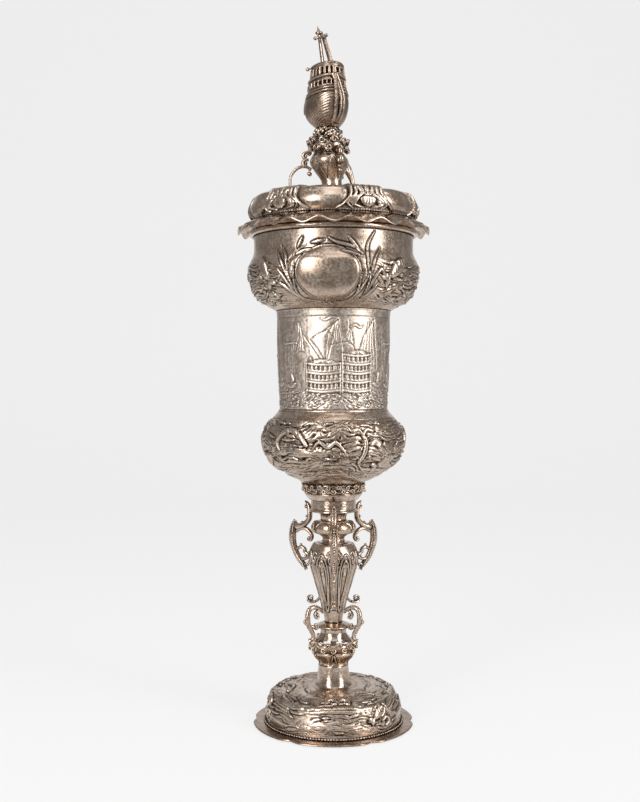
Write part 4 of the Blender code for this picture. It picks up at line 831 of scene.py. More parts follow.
class Casting:
    """A cast piece, put together in millimetres from bands, rods, balls and curls."""

    def __init__(self, name: str, place: Matrix | None = None) -> None:
        """Starts an empty casting.

        Args:
            name: Its name.
            place: Where its flat routes stand.
        """
        self.name = name
        self.place = place or Matrix()
        self.bm = bmesh.new()

    def take(self, mesh: bpy.types.Mesh, place: Matrix) -> None:
        """Adds a mesh and discards it.

        Args:
            mesh: The mesh.
            place: Where it goes.
        """
        mesh.transform(place)
        self.bm.from_mesh(mesh)
        bpy.data.meshes.remove(mesh)

    def sweep(
        self,
        route: Route,
        depth: float,
        extrude: float = 0.0,
        place: Matrix | None = None,
        steps: int = 5,
        rounding: int = 3,
    ) -> None:
        """Sweeps a band or a rod along a route.

        Args:
            route: Points with a taper as the last number: x, y for a band, x, y, z for a rod.
            depth: Half its thickness, or its radius.
            extrude: Half the flat part of its width, for a band.
            place: Where it goes, if not where the casting does.
            steps: Steps between the route's points.
            rounding: Segments of its rounded edge.
        """
        flat = len(route[0]) == 3
        curve = bpy.data.curves.new(self.name, "CURVE")
        curve.dimensions = "2D" if flat else "3D"
        curve.fill_mode = "NONE" if flat else "FULL"
        curve.extrude = extrude
        curve.bevel_depth = depth
        curve.bevel_resolution = rounding
        curve.use_fill_caps = True
        run = smooth_route(route, steps)
        spline = curve.splines.new("POLY")
        spline.points.add(len(run) - 1)
        for point, values in zip(spline.points, run):
            point.co = (*values[:-1], 0.0, 1.0) if flat else (*values[:-1], 1.0)
            point.radius = values[-1]
        holder = bpy.data.objects.new(self.name, curve)
        bpy.context.scene.collection.objects.link(holder)
        bpy.context.view_layer.update()
        mesh = bpy.data.meshes.new_from_object(holder.evaluated_get(bpy.context.evaluated_depsgraph_get()))
        bpy.data.objects.remove(holder)
        bpy.data.curves.remove(curve)
        bm = bmesh.new()
        bm.from_mesh(mesh)
        merge(bm, 0.0005)
        bm.to_mesh(mesh)
        bm.free()
        self.take(mesh, place or self.place)

    def leaf_band(
        self, route: Route, half_wide: float, half_thick: float, steps: int = 4, off: float = 0.0
    ) -> None:
        """Sweeps a band with an oval section along a flat route.

        Args:
            route: Points x, y and a taper.
            half_wide: Half its width in the route's plane.
            half_thick: Half its thickness across that plane.
            steps: Steps between the route's points.
            off: Its distance from the casting's plane.
        """
        squash = Matrix.Diagonal((1.0, 1.0, half_thick / half_wide, 1.0))
        place = self.place @ Matrix.Translation((0.0, 0.0, off)) @ squash
        self.sweep([(x, y, 0.0, taper) for x, y, taper in route], half_wide, 0.0, place, steps, 2)

    def beads(self, route: Route, pitch: float, radius: float) -> None:
        """Sets small balls along a flat route.

        Args:
            route: Points x and y.
            pitch: Distance from one ball to the next.
            radius: Their radius.
        """
        run = smooth_route(route, 6)
        reach = sum(math.dist(a, b) for a, b in zip(run, run[1:]))
        for x, y in evenly(run, max(2, round(reach / pitch) + 1)):
            self.bead(self.place @ Matrix.Translation((x, y, 0.0)) @ Matrix.Scale(radius, 4), 8)

    def rosettes(self, count: int, radius: float, low: float, high: float, size: float) -> None:
        """Sets two staggered rows of small curls round the axis, with buds between them.

        Args:
            count: How many in both rows.
            radius: Their distance from the axis.
            low: Height of the lower row.
            high: Height of the upper row.
            size: Radius of one curl.
        """
        for k in range(count):
            angle, upper = 360.0 * k / count, k % 2
            place = around(angle, radius, high if upper else low, -16.0 if upper else 16.0)
            start = 200 + 65 * (k % 3) + 90 * upper
            turns = 1.2 * (-1) ** (k // 2)
            self.spiral((0.0, 0.0), size, turns, start, (0.32 * size, 0.2 * size), place)
            height = (high if k % 4 < 2 else low) + 0.2 * size
            bud = around(angle + 180.0 / count, radius - 0.25 * size, height)
            self.bead(Matrix.Translation(bud.to_translation()) @ Matrix.Scale(0.42 * size, 4))

    def ball(self, x: float, y: float, radius: float, squash: float = 1.0) -> None:
        """Adds a ball at a point of the casting's plane, its height a share of its width."""
        size = Matrix.Diagonal((radius, radius, squash * radius, 1.0))
        self.bead(Matrix.Translation(self.place @ Vector((x, y, 0.0))) @ size)

    def bead(self, place: Matrix, segments: int = 14) -> None:
        """Adds a ball.

        Args:
            place: Sets its place, and its size from a radius of 1.
            segments: Its faces round.
        """
        bm = bmesh.new()
        bmesh.ops.create_uvsphere(bm, u_segments=segments, v_segments=segments // 2 + 1, radius=1.0)
        self.take(closed_mesh(bm, self.name), place)

    def spiral(
        self, centre: Point, radius: float, turns: float, start: float, section: Point,
        place: Matrix | None = None,
    ) -> None:
        """Adds a band that winds in to an eye.

        Args:
            centre: The eye, in the band's plane.
            radius: Radius of the outer end.
            turns: Turns, above zero winding to the left.
            start: Angle of the outer end in degrees.
            section: Half the band's thickness, and half the flat part of its width.
            place: Where it goes, if not where the casting does.
        """
        count = max(8, round(10 * abs(turns)))
        route = []
        for i in range(count + 1):
            share = i / count
            angle = math.radians(start + 360 * turns * share)
            reach = radius * (1 - 0.82 * share)
            x, y = centre[0] + reach * math.cos(angle), centre[1] + reach * math.sin(angle)
            route.append((x, y, 1 - 0.4 * share))
        self.sweep(route, *section, place, steps=2)

    def mesh(self, shape: Reshape | None = None) -> bpy.types.Mesh:
        """Closes the casting.

        Args:
            shape: A last change to the points, in millimetres.

        Returns:
            The mesh, in metres.
        """
        made = bpy.data.meshes.new(self.name)
        self.bm.to_mesh(made)
        self.bm.free()
        points = np.empty(3 * len(made.vertices))
        made.vertices.foreach_get("co", points)
        points = points.reshape(-1, 3)
        if shape:
            points = shape(points)
        made.vertices.foreach_set("co", (points * MM).ravel())
        made.shade_smooth()
        made.update()
        return made


def upright(angle: float) -> Matrix:
    """Stands a flat piece's X-Y plane along a radius at an angle in degrees from the front."""
    return Matrix.Rotation(math.radians(angle) - math.pi / 2, 4, "Z") @ Matrix.Rotation(math.pi / 2, 4, "X")


def around(angle: float, radius: float, height: float, pitch: float = 0.0) -> Matrix:
    """Places a curl on a ring, growing up, facing outwards.

    Args:
        angle: Degrees from the front.
        radius: Distance from the axis.
        height: Height of its root.
        pitch: How far it leans outwards, in degrees.

    Returns:
        The matrix.
    """
    stand = Matrix.Rotation(math.radians(90 - pitch), 4, "X")
    swing = Matrix.Rotation(math.radians(angle), 4, "Z")
    return swing @ Matrix.Translation((0.0, -radius, height)) @ stand


def ring(radius: float, height: float) -> Route:
    """Gives a closed route round the axis, with a taper of 1."""
    turns = [2 * math.pi * k / 48 for k in range(49)]
    return [(radius * math.sin(turn), -radius * math.cos(turn), height, 1.0) for turn in turns]


def off_centre(angle: np.ndarray, count: int) -> np.ndarray:
    """Gives the angle in degrees to the nearest of evenly spaced places, one of them at the front."""
    pitch = 360.0 / count
    return (angle + pitch / 2) % pitch - pitch / 2


@dataclass
class Assembly:
    """A part of the cup, whose pieces the workshop finishes."""

    shop: Workshop


@dataclass
class Foot(Assembly):
    """The lobed flange, the beaded wire and the chased dome that the cup stands on."""

    dome_outline: Outline = (
        (16.4, 1.0), (32.1, 0.98), (47.8, 0.9), (53.6, 0.78), (56.8, 0.55), (57.8, 0.3), (57.8, 0.0),
    )
    dome_wall: float = 1.3
    flange_inner: float = 55.0
    flange_outer: float = 69.0
    notches: int = 6
    notch_depth: float = 2.8
    notch_half_angle: float = 9.0
    turn: float = -3.0
    bead_radius: float = 0.8
    beads: int = 150
    wire_radius: float = 59.0

    def build(self) -> None:
        """Builds the foot's three pieces."""
        self.flange()
        self.wire()
        self.dome()

    def flange(self) -> None:
        """Builds the flat flange with its six notches."""
        low, high = level("foot_flange"), level("foot_flange", 1)
        inner, outer = self.flange_inner, self.flange_outer
        edge = [(outer - 1.6, high), (outer - 0.5, high - 0.1), (outer, high - 0.55)]
        foot = [(outer, low + 0.3), (outer - 0.4, low), (inner, low)]
        bm = spun([(inner, high)] + edge + foot, 360)
        for vertex in bm.verts:
            radius, angle = polar(vertex.co)
            angle -= self.turn
            off = float(off_centre(np.array(angle + 180.0 / self.notches), self.notches))
            away = abs(off) / self.notch_half_angle
            reach = max(0.0, (radius - inner - 6) / (outer - inner - 6))
            wave = 0.35 * math.sin(math.radians(3 * angle)) * reach
            notch = self.notch_depth * max(0.0, 1 - away) ** 1.5 * reach
            shrunk = (radius - notch - 0.3 * reach + 0.3 * wave) / radius
            vertex.co.x *= shrunk
            vertex.co.y *= shrunk
        mesh = closed_mesh(bm, "foot_flange_dressed", MM)
        mesh.set_sharp_from_angle(angle=math.radians(50))
        self.shop.finish("flange", mesh, self.shop.ship, "foot_flange")

    def wire(self) -> None:
        """Builds the beaded wire."""
        casting = Casting("wire")
        middle = level("foot_rim_wire", 0.5)
        for i in range(self.beads):
            angle = 2 * math.pi * i / self.beads
            x, y = self.wire_radius * math.sin(angle), -self.wire_radius * math.cos(angle)
            place = Matrix.Translation((x, y, middle))
            size = Matrix.Diagonal((1.55, 1.0, 0.98, 1.0)) @ Matrix.Scale(self.bead_radius, 4)
            casting.bead(place @ Matrix.Rotation(angle, 4, "Z") @ size, 8)
        self.shop.finish("rim_wire", casting.mesh(), self.shop.cast, "foot_rim_wire")

    def dome(self) -> None:
        """Builds the dome with its chased sea."""
        grid = {"columns": 640, "rows": 120, "placed_by": PlacedBy.RUN, "seed": 11}
        piece = Turned("foot_dome", self.dome_outline, wall=self.dome_wall, **grid)
        relief = piece.relief
        end = relief.along[-1]
        relief.swells(3.5, 1.6)
        relief.sea(8.0, 34.0, spacing=5.4, height=0.42, wander=1.2)
        phase = relief.sea(31.0, end - 2.0, spacing=2.8, height=0.6, wander=1.3)
        relief.wavelets(phase, 30.0, end - 4.0, count=120, size=(13.0, 0.95, 0.75))
        relief.height += 0.5 * (1 - np.clip(relief.along / 6.0, 0, 1)[:, None]) ** 2
        for turn in (-8.0, 112.0, -128.0):
            curls = (
                [(-1, 33), (0, 28), (5, 25), (10, 28), (9, 32), (5, 31)],
                [(13, 33), (13, 28), (18, 25), (23, 28), (22, 33), (18, 31)],
                [(44, 42), (50, 38), (56, 42), (52, 47), (47, 45)],
                [(52, 52), (57, 49), (60, 53), (56, 56)],
                [(36, 22), (44, 18), (54, 20), (60, 26)],
            )
            for points in curls:
                relief.stroke(swung(turn, points), 1.4, 1.2, (0.3, 0.5), sunk=0.5)
        relief.fish(40.0, 45.0, length=19.0, heading=35.0, height=0.9)
        relief.fish(150.0, 40.0, length=24.0, heading=200.0, height=0.9)
        self.shop.finish("dome", piece.mesh(), self.shop.chased, "foot_dome")


@dataclass
class Stem(Assembly):
    """The knops, reels, vase and socket between the foot and the bowl."""

    knop_lobes: int = 6
    lobe_depth: float = 1.5
    collar: Outline = ((12.9, 1.0), (13.6, 0.5), (15.0, 0.12), (16.4, 0.0))
    lower_knop: Outline = (
        (17.6, 1.0), (18.9, 0.9), (18.6, 0.72), (16.6, 0.52), (13.9, 0.32), (12.7, 0.15), (12.9, 0.0),
    )
    lower_reel: Outline = ((11.4, 1.0), (11.2, 0.55), (14.2, 0.0))
    drip_disc: Outline = ((9.5, 1.0), (13.9, 0.6), (15.4, 0.35), (13.1, 0.0))
    vase: Outline = (
        (15.0, 1.0), (18.1, 0.98), (21.3, 0.86), (20.2, 0.72), (16.6, 0.53), (11.7, 0.29), (8.9, 0.12),
        (7.4, 0.0),
    )
    neck_reel: Outline = ((11.8, 1.0), (9.8, 0.7), (9.8, 0.3), (12.7, 0.0))
    upper_knop: Outline = ((12.0, 1.0), (17.5, 0.82), (19.4, 0.5), (17.5, 0.18), (12.0, 0.0))
    neck_tube: Outline = ((20.25, 1.0), (13.5, 0.8), (11.2, 0.35), (11.2, 0.0))
    socket_reel: Outline = ((19.3, 1.0), (19.3, 0.2), (20.7, 0.1), (20.7, 0.0))
    socket_ring: Outline = ((25.0, 1.0), (25.0, 0.75), (23.5, 0.4), (21.5, 0.0))
    collar_body: float = 25.1
    rosettes: int = 40
    wreath_body: float = 18.6
    wreath_curls: int = 14

    def build(self) -> None:
        """Builds the stem's pieces from the foot up."""
        for name, outline, rows in (
            ("foot_collar", self.collar, 30),
            ("lower_reel", self.lower_reel, 20),
            ("drip_disc", self.drip_disc, 16),
            ("neck_reel", self.neck_reel, 20),
            ("neck_tube", self.neck_tube, 24),
            ("socket_reel", self.socket_reel, 30),
            ("socket_ring", self.socket_ring, 20),
        ):
            bore = 10.9 if name == "foot_collar" else 2.8
            sharp = 1 if name.startswith("socket") else 6
            piece = Turned(name, outline, bore=bore, columns=120, rows=rows, bend=sharp)
            self.shop.finish(name.replace("_", "-"), piece.mesh(), self.shop.turned, name)
        self.knops()
        self.baluster()
        self.wreath()
        self.leaf_collar()

    def knops(self) -> None:
        """Builds the two lobed knops."""
        for name, outline, bend in (("lower_knop", self.lower_knop, 5), ("upper_knop", self.upper_knop, 6)):
            piece = Turned(name, outline, columns=192, rows=36, bend=bend)
            relief = piece.relief
            valley = (1 - np.abs(off_centre(relief.turn, self.knop_lobes)) * self.knop_lobes / 180.0) ** 3
            share = np.clip((relief.radius - 11.5) / 7.8, 0, 1)[:, None]
            relief.height -= self.lobe_depth * valley[None, :] * share
            for k in range(6):
                if name == "upper_knop":
                    arc = [(6.0, 166.0), (12.0, 170.4), (30.0, 172.0), (48.0, 170.4), (54.0, 166.0)]
                    relief.stroke(swung(60 * k, arc), 0.8, 0.6, (0.6, 0.6), sunk=0.3)
                    continue
                for side in (-1, 1):
                    petal = [(side * 2.0, 59.5), (side * 5.0, 55.5), (side * 11.0, 51.0)]
                    relief.stroke(swung(60 * k, petal), 0.7, 0.7, (0.4, 0.7), sunk=0.35)
            self.shop.finish(name.replace("_", "-"), piece.mesh(), self.shop.curls, name)

    def baluster(self) -> None:
        """Builds the vase with its chased tongues."""
        piece = Turned("baluster_vase", self.vase, columns=240, rows=130)
        relief = piece.relief
        base = level("baluster_vase")
        relief.height -= 0.12 * relief.band(base + 58.0, base + 8.0) * np.clip(relief.noise(1.6, 1.3), 0, 1)
        for k in range(6):
            turn = 60.0 * k + 30.0
            for wide, tall, depth in ((15.0, 25.0, 0.8), (10.0, 20.0, 0.45)):
                edge = [(0, tall), (0.8 * wide, 0.72 * tall), (wide, 0.2 * tall), (0.7 * wide, -0.6 * tall)]
                edge += [(0, -tall)] + [(-a, z) for a, z in edge[:0:-1]]
                tongue = [(turn + a, base + 35 + z) for a, z in edge]
                relief.stroke(tongue, 0.6, depth, closed=True, sunk=0.35)
            for side in (-1, 1):
                curl = [(14, 60), (22, 62), (27, 57), (23, 52), (18, 55), (20, 58)]
                curl = [(turn + side * a, base + z) for a, z in curl]
                relief.stroke(curl, 0.8, 0.8, (0.4, 0.6), sunk=0.35)
                relief.dot(turn + side * 4.5, base + 50, 1.3, 0.5)
            relief.dot(turn, base + 43, 1.5, 0.6)
        self.shop.finish("vase", piece.mesh(), self.shop.chased, "baluster_vase")

    def wreath(self) -> None:
        """Builds the wreath of curled leaves."""
        low, high = level("knop_wreath"), level("knop_wreath", 1)
        casting = Casting("wreath")
        middle = 0.5 * (low + high)
        casting.sweep(ring(self.wreath_body - 1.2, middle), 2.6)
        casting.rosettes(2 * self.wreath_curls, self.wreath_body + 1.6, low + 2.3, high - 2.3, 2.35)
        self.shop.finish("leaf_wreath", casting.mesh(), self.shop.curls, "knop_wreath")

    def leaf_collar(self) -> None:
        """Builds the pierced collar of curled leaves under the bowl."""
        low, high = level("leaf_collar"), level("leaf_collar", 1)
        casting = Casting("leaf_collar")
        casting.sweep(ring(self.collar_body - 1.4, low + 1.0), 1.0)
        casting.sweep(ring(self.collar_body - 1.4, high - 0.9), 0.9)
        casting.rosettes(self.rosettes, self.collar_body + 1.3, low + 2.2, high - 2.0, 2.2)
        self.shop.finish("curled_collar", casting.mesh(), self.shop.curls, "leaf_collar")


@dataclass
class Scrollwork(Assembly):
    """The cast brackets, straps and scrolls that stand round the stem."""

    thirds: dict[str, float] = field(default_factory=lambda: {"front": 0.0, "left": -120.0, "right": 120.0})
    between: dict[str, float] = field(default_factory=lambda: {"left": -60.0, "right": 60.0, "back": 180.0})

    def build(self) -> None:
        """Builds each casting at each of its sides."""
        for side, angle in self.thirds.items():
            self.bracket(side, angle)
            self.strap(side, angle)
        for side, angle in self.between.items():
            self.scroll(side, angle)

    def bracket(self, side: str, angle: float) -> None:
        """Builds an open scroll bracket.

        Args:
            side: Its side.
            angle: Where it stands.
        """
        casting = Casting("bracket", upright(angle))
        body = [
            (38.7, 170, 0.15), (39.8, 165.3, 0.6), (40.6, 159.5, 0.95), (40.8, 152.2, 1),
            (39, 145.3, 0.9), (34.9, 138, 0.75), (30.2, 132.6, 0.55), (27.6, 127.2, 0.3),
        ]
        casting.leaf_band(body, 3.1, 2.9)
        for off in (-2.3, 2.3):
            casting.leaf_band([(x - 0.4, y, t) for x, y, t in body], 1.1, 0.9, 3, off)
        edge = [(39.6, 169.6), (42.5, 165), (43.9, 158.9), (43.8, 151.9), (41.4, 144.8), (36.9, 136.6)]
        casting.beads(edge + [(30.9, 130.4)], 2.3, 1.15)
        top = [
            (27.6, 187, 0.45), (24.9, 184.2, 0.8), (23.6, 177.9, 1), (24.3, 171.8, 1.1),
            (27.8, 168, 1.2), (32, 165.4, 1.3), (36.2, 164.8, 1.4), (38.6, 168.6, 0.5),
        ]
        casting.leaf_band(top, 2.1, 2.7)
        casting.spiral((26.6, 183.4), 2.3, 1.1, 150, (0.85, 1.2))
        casting.spiral((22.6, 179.6), 2, -1, 30, (0.8, 1))
        curl = [
            (37.1, 160.3, 0.9), (31.9, 163.3, 1.1), (26.4, 162.9, 1.1), (22.5, 159.7, 1),
            (21.2, 156.3, 0.9), (22.6, 153.4, 0.8), (25.2, 154, 0.7), (24.6, 155.9, 0.6),
        ]
        casting.leaf_band(curl, 1.6, 2.4)
        loop = [(38, 144, 0.9), (32.5, 147, 1.1), (28.8, 145.4, 1), (27.6, 142.4, 0.9)]
        casting.leaf_band(loop + [(24.4, 140.6, 0.9), (22.4, 141.5, 0.8)], 1.45, 2.1)
        low = [(33.4, 137.2, 0.9), (29.2, 136.6, 1), (25.8, 138.4, 1), (22.6, 140.6, 0.9)]
        casting.leaf_band(low, 1.45, 2.1)
        casting.leaf_band([(31.4, 132, 0.8), (27.2, 132.6, 1), (24.6, 135, 0.5)], 1.3, 1.6)
        for x, y, radius in (
            (24.4, 155.2, 1.5), (28.9, 143.2, 1.6), (32.6, 149, 1.2), (27.6, 139.2, 1.4),
            (25.8, 131.6, 1.2), (27.8, 187, 1), (26.6, 182.6, 1.4), (22.3, 180.4, 1.4),
            (26.6, 174.2, 1.3), (31.4, 168.4, 1.4),
        ):
            casting.ball(x, y, radius)
        self.shop.finish(f"bracket_{side}", casting.mesh(), self.shop.cast, f"scroll_bracket_{side}")

    def strap(self, side: str, angle: float) -> None:
        """Builds the strap that runs down the vase under a bracket.

        Args:
            side: Its side.
            angle: Where it stands.
        """
        vase = smooth_route([(level("baluster_vase", share), radius) for radius, share in Stem.vase], 2)
        heights, radii = zip(*vase[::-1])

        def on_vase(height: float, lift: float) -> float:
            """Gives a radius just off the vase."""
            return float(np.interp(height, heights, radii)) + lift

        casting = Casting("strap", upright(angle))
        flat = [(on_vase(z, 1), z, 1) for z in (140, 136, 132, 128, 124.5, 122.8)]
        casting.sweep(flat, 0.55, 1.5)
        ridge = [(on_vase(z, 1.3), z, t) for z, t in ((123.5, 0.9), (118, 0.8), (112, 0.8), (107, 0.9))]
        foot = [(13.9, 104.2, 1), (17, 100.9, 1.1), (21.5, 99.7, 1.1), (25, 101.1, 1)]
        curl = [(25.3, 103.7, 0.9), (22.8, 105.2, 0.8), (20.4, 104.2, 0.7)]
        casting.sweep(ridge + foot + curl, 1.05, 0.5)
        casting.sweep(foot[1:], 1, 1.7)
        casting.ball(21.6, 102.6, 1.5)
        casting.ball(on_vase(122.8, 1.2), 122.8, 1.7)
        casting.ball(on_vase(140.5, 1), 140.5, 1.9, 1.3)
        self.shop.finish(f"strap_{side}", casting.mesh(), self.shop.cast, f"vase_strap_{side}")

    def scroll(self, side: str, angle: float) -> None:
        """Builds a small scroll above the wreath.

        Args:
            side: Its side.
            angle: Where it stands.
        """
        casting = Casting("scroll", upright(angle))
        main = [
            (10.8, 93.6, 0.5), (13.3, 97, 0.8), (18.2, 99.1, 1), (22.7, 98.4, 1.1), (25, 95.1, 1.1),
            (25.6, 90, 1.2), (24.8, 84.9, 1.1), (21.9, 79.9, 1), (19.8, 75.9, 0.9), (20, 72.6, 0.8),
        ]
        casting.leaf_band(main, 1.95, 2)
        off = ((0, 1.3), (1.1, 1)) + ((1.5, 0),) * 5
        casting.beads([(x + dx, y + dy) for (x, y, _), (dx, dy) in zip(main[2:9], off)], 2.7, 1.15)
        casting.leaf_band([(25.2, 91.5, 1), (29.6, 87.8, 0.35), (25, 84.6, 0.9)], 1.4, 1.5)
        eye = [(13.2, 96.2, 0.8), (16.6, 95.4, 1), (18.6, 92.5, 1), (16.8, 89.6, 0.9), (14.2, 90.7, 0.7)]
        casting.leaf_band(eye, 1.3, 1.7)
        casting.ball(15.6, 92.4, 1.5)
        low = [(24.2, 83.2, 0.9), (20.2, 82.8, 1), (17.3, 80.9, 1), (15.2, 81.6, 0.8), (14.4, 83.8, 0.7)]
        casting.leaf_band(low, 1.3, 1.7)
        casting.ball(17.8, 84.2, 1.4)
        casting.ball(20.6, 72.4, 1.5)
        self.shop.finish(f"scroll_{side}", casting.mesh(), self.shop.cast, f"lower_scroll_{side}")


@dataclass
class Bowl(Assembly):
    """The chased lower bowl, drum and upper bowl, and the lip."""

    lower: Outline = (
        (46.4, 1.0), (48.8, 0.941), (55.3, 0.832), (59.5, 0.714), (61.3, 0.58), (58.5, 0.377),
        (50.3, 0.226), (38.0, 0.11), (26.0, 0.0),
    )
    drum: Outline = ((49.4, 1.0), (48.7, 0.93), (47.9, 0.55), (46.4, 0.15), (46.4, 0.0))
    upper: Outline = (
        (68.6, 1.0), (68.6, 0.7785), (72.0, 0.6456), (73.8, 0.557), (72.1, 0.373), (66.5, 0.173),
        (56.7, 0.067), (49.4, 0.0),
    )
    wall: float = 1.3
    lip_inner: float = 67.3
    cartouche_turn: float = -4.3
    cartouche_half_turn: float = 21.0

    def build(self) -> None:
        """Builds the bowl's four pieces."""
        self.lower_bowl()
        self.drum_wall()
        self.upper_bowl()
        self.lip()

    def lower_bowl(self) -> None:
        """Builds the bulged lower bowl with its chased sea."""
        piece = Turned("lower_bowl", self.lower, wall=self.wall, columns=640, rows=130, seed=21)
        relief = piece.relief
        relief.swells(6.0, 0.0)
        phase = relief.sea(260.5, 211.0, spacing=2.7, height=1.0, wander=1.5)
        relief.wavelets(phase, 258.0, 217.0, count=260, size=(12.0, 0.95, 1.05))
        for turn in (0, 128, -119):
            self.beasts(relief, turn)
        for place in (267, 261):
            relief.groove([(a, place) for a in range(-180, 181, 30)], 0.35, 0.35)
        self.shop.finish("lower_bowl_dressed", piece.mesh(), self.shop.chased, "lower_bowl")

    def beasts(self, relief: Relief, turn: float) -> None:
        """Chases an arched sea beast, the tail of a diving one and a fish.

        Args:
            relief: The bowl's relief.
            turn: How far round from the front.
        """
        neck = [(-48, 236), (-50, 243), (-44, 250), (-35, 252), (-27, 247), (-22, 240)]
        relief.stroke(swung(turn, neck), 2.6, 1.9, (0.3, 0.5), vein=0.0, sunk=0.5)
        for a, z in ((-46, 248), (-39, 252), (-31, 251)):
            relief.groove([(turn + a, z + 2), (turn + a + 2, z - 3)], 0.4, 0.4)
        tail = [(20, 226), (24, 234), (25, 243), (23, 249)]
        relief.stroke(swung(turn, tail), 1.9, 1.8, (0.5, 0.7), sunk=0.5)
        for side in (-1, 1):
            fin = [(23, 249), (23 + 4 * side, 253), (23 + 9 * side, 252), (23 + 12 * side, 255)]
            relief.stroke(swung(turn, fin), 1.5, 1.6, (0.6, 0.1), vein=0.3, sunk=0.4)
        back = [(-18, 236), (-12, 243), (-5, 239), (1, 243), (7, 237), (11, 231)]
        relief.stroke(swung(turn, back), 1.7, 1.6, (0.3, 0.2), sunk=0.4)
        for a, z in ((-12, 243), (-5, 240), (1, 243)):
            relief.dot(turn + a, z + 1.5, 1.2, 0.7)
        relief.fish(turn + 47, 226, length=24.0, heading=25.0)

    def drum_wall(self) -> None:
        """Builds the drum with its ships at sea."""
        piece = Turned("drum", self.drum, wall=self.wall, columns=600, rows=140, seed=31, dirt=0.8)
        relief = piece.relief
        relief.groove([(a, 346.0) for a in range(-180, 181, 20)], 0.4, 0.45)
        phase = relief.sea(287.0, 269.5, spacing=2.0, height=0.3, wander=0.8)
        relief.wavelets(phase, 285.0, 270.5, count=260, size=(4.6, 0.7, 0.6))
        relief.height += 0.07 * relief.band(344.0, 286.0) * relief.noise(2.0, 7.0)
        for turn in (0, 120, -120):
            self.rigging(relief, turn)
            self.stern(relief, turn - 11.0, 29.0, 3)
            self.stern(relief, turn + 24.0, 26.0, 4)
            self.boat(relief, turn + 50.0, 288.0)
            self.boat(relief, turn - 50.0, 287.0)
        self.shop.finish("drum_dressed", piece.mesh(), self.shop.drum, "drum")

    def stern(self, relief: Relief, middle: float, width: float, tiers: int) -> None:
        """Chases a ship's stern with tiers of windows, mouldings and a low arch above.

        Args:
            relief: The drum's relief.
            middle: Where it is.
            width: Its width in millimetres.
            tiers: Tiers of windows.
        """
        low, tall, per_mm = 283.5, 7.4, 1.2

        def at(x: float, z: float) -> Point:
            """Gives a place from the ship's own sizes; the tiers sag at the middle."""
            return (middle + x * per_mm, low + z + 1.6 * (2 * x / width) ** 2)

        top = tiers * tall
        frame_line = [(-0.5, -2), (-0.52, 0.5 * top), (-0.44, top), (-0.25, top + 3.4), (0, top + 4.6)]
        outline = [at(x * width, z) for x, z in frame_line]
        outline += [at(-x * width, z) for x, z in frame_line[-2::-1]]
        relief.patch(outline, 0.45, rim=1.6, smooth=False, sunk=0.5)
        for tier in range(tiers + 1):
            half = 0.5 * width * (1.0 - 0.03 * tier)
            line = [at(x * half, tier * tall) for x in (-1, -0.5, 0, 0.5, 1)]
            relief.stroke(line, 0.8, 1.0, (1, 1), sunk=0.3)
            if tier == tiers:
                break
            relief.stroke([(a, z + 2.0) for a, z in line], 0.4, 0.75, (1, 1), sunk=0.15)
            count = round(2 * half / 3.7)
            for k in range(count):
                x = -half + (k + 0.5) * 2 * half / count
                relief.groove([at(x, tier * tall + 3.6), at(x, tier * tall + 5.8)], 0.95, 0.75)
        relief.dot(*at(0.0, top + 2.4), 1.3, 0.6)
        for side in (-1, 1):
            brow = [at(side * 0.1 * width, top + 2.0), at(side * 0.3 * width, top + 1.4)]
            relief.stroke(brow, 0.7, 0.7, (0.5, 0.2))
            relief.stroke([at(side * 0.5 * width, z) for z in (-2.0, 0.5 * top, top)], 0.7, 1.0, (1, 0.8))

    def rigging(self, relief: Relief, turn: float) -> None:
        """Chases the slack sails, stays, pennants and quay above the sterns.

        Args:
            relief: The drum's relief.
            turn: How far round from the front.
        """
        stays = (
            ((-31, 330), (-9, 305)),
            ((4, 344), (10.5, 313)),
            ((-4, 322), (15, 326)),
            ((-15, 330), (4, 343)),
            ((3.5, 343), (-8, 307)),
            ((14, 331), (24, 312)),
            ((43, 344), (49, 296)),
        )
        for run in stays:
            relief.groove(swung(turn, run), 0.38, 0.42)
        for head, left, right, belly, folds in (
            ((43, 343.5), (24, 313.5), (46.5, 312), -4, 4),
            ((-5.5, 334.5), (-24, 326.5), (-8.5, 309.5), -3, 0),
            ((4, 342.5), (-4.5, 333), (2.8, 322.5), -1.5, 1),
            ((16, 336), (8, 325), (19, 322), 1.5, 1),
            ((-36, 340), (-42, 315), (-31, 317), 2, 2),
        ):
            self.sail(relief, swung(turn, (head, left, right)), belly, folds)
        pennants = (
            [(4, 344), (-2, 345), (-8, 342.6), (-13, 344)],
            [(16, 337), (21, 338.6), (26, 336.4), (30, 338)],
        )
        for points in pennants:
            relief.stroke(swung(turn, points), 0.8, 0.4, (0.9, 0.1), sunk=0.3)
        quay = [(-58, 323.6), (-44, 324.4), (-40, 323.6)]
        relief.stroke(swung(turn, quay), 0.8, 0.7, (0.8, 0.5))
        for angle, top in ((-57, 322.5), (-51.5, 322.5), (-46, 323), (56, 330), (60.5, 334)):
            for off in (0, 2.2):
                relief.groove([(turn + angle + off, top), (turn + angle + off, 292)], 0.4, 0.4)
        for angle, place in ((-27, 309.5), (-25, 305), (38, 308)):
            flag = [(0, place), (3, place + 2), (4, place - 2)]
            relief.stroke(swung(turn + angle, flag), 0.7, 0.8)

    def sail(self, relief: Relief, corners: Outline, belly: float, folds: int) -> None:
        """Chases a slack three-cornered sail.

        Args:
            relief: The drum's relief.
            corners: Its head and its two lower corners.
            belly: How far its long edges swing out.
            folds: Lines from its head to its foot.
        """
        head, left, right = corners

        def between(a: Point, b: Point, out: float, lift: float = 0.0) -> Point:
            """Gives the middle of an edge, swung out."""
            return (0.5 * (a[0] + b[0]) + out, 0.5 * (a[1] + b[1]) + lift)

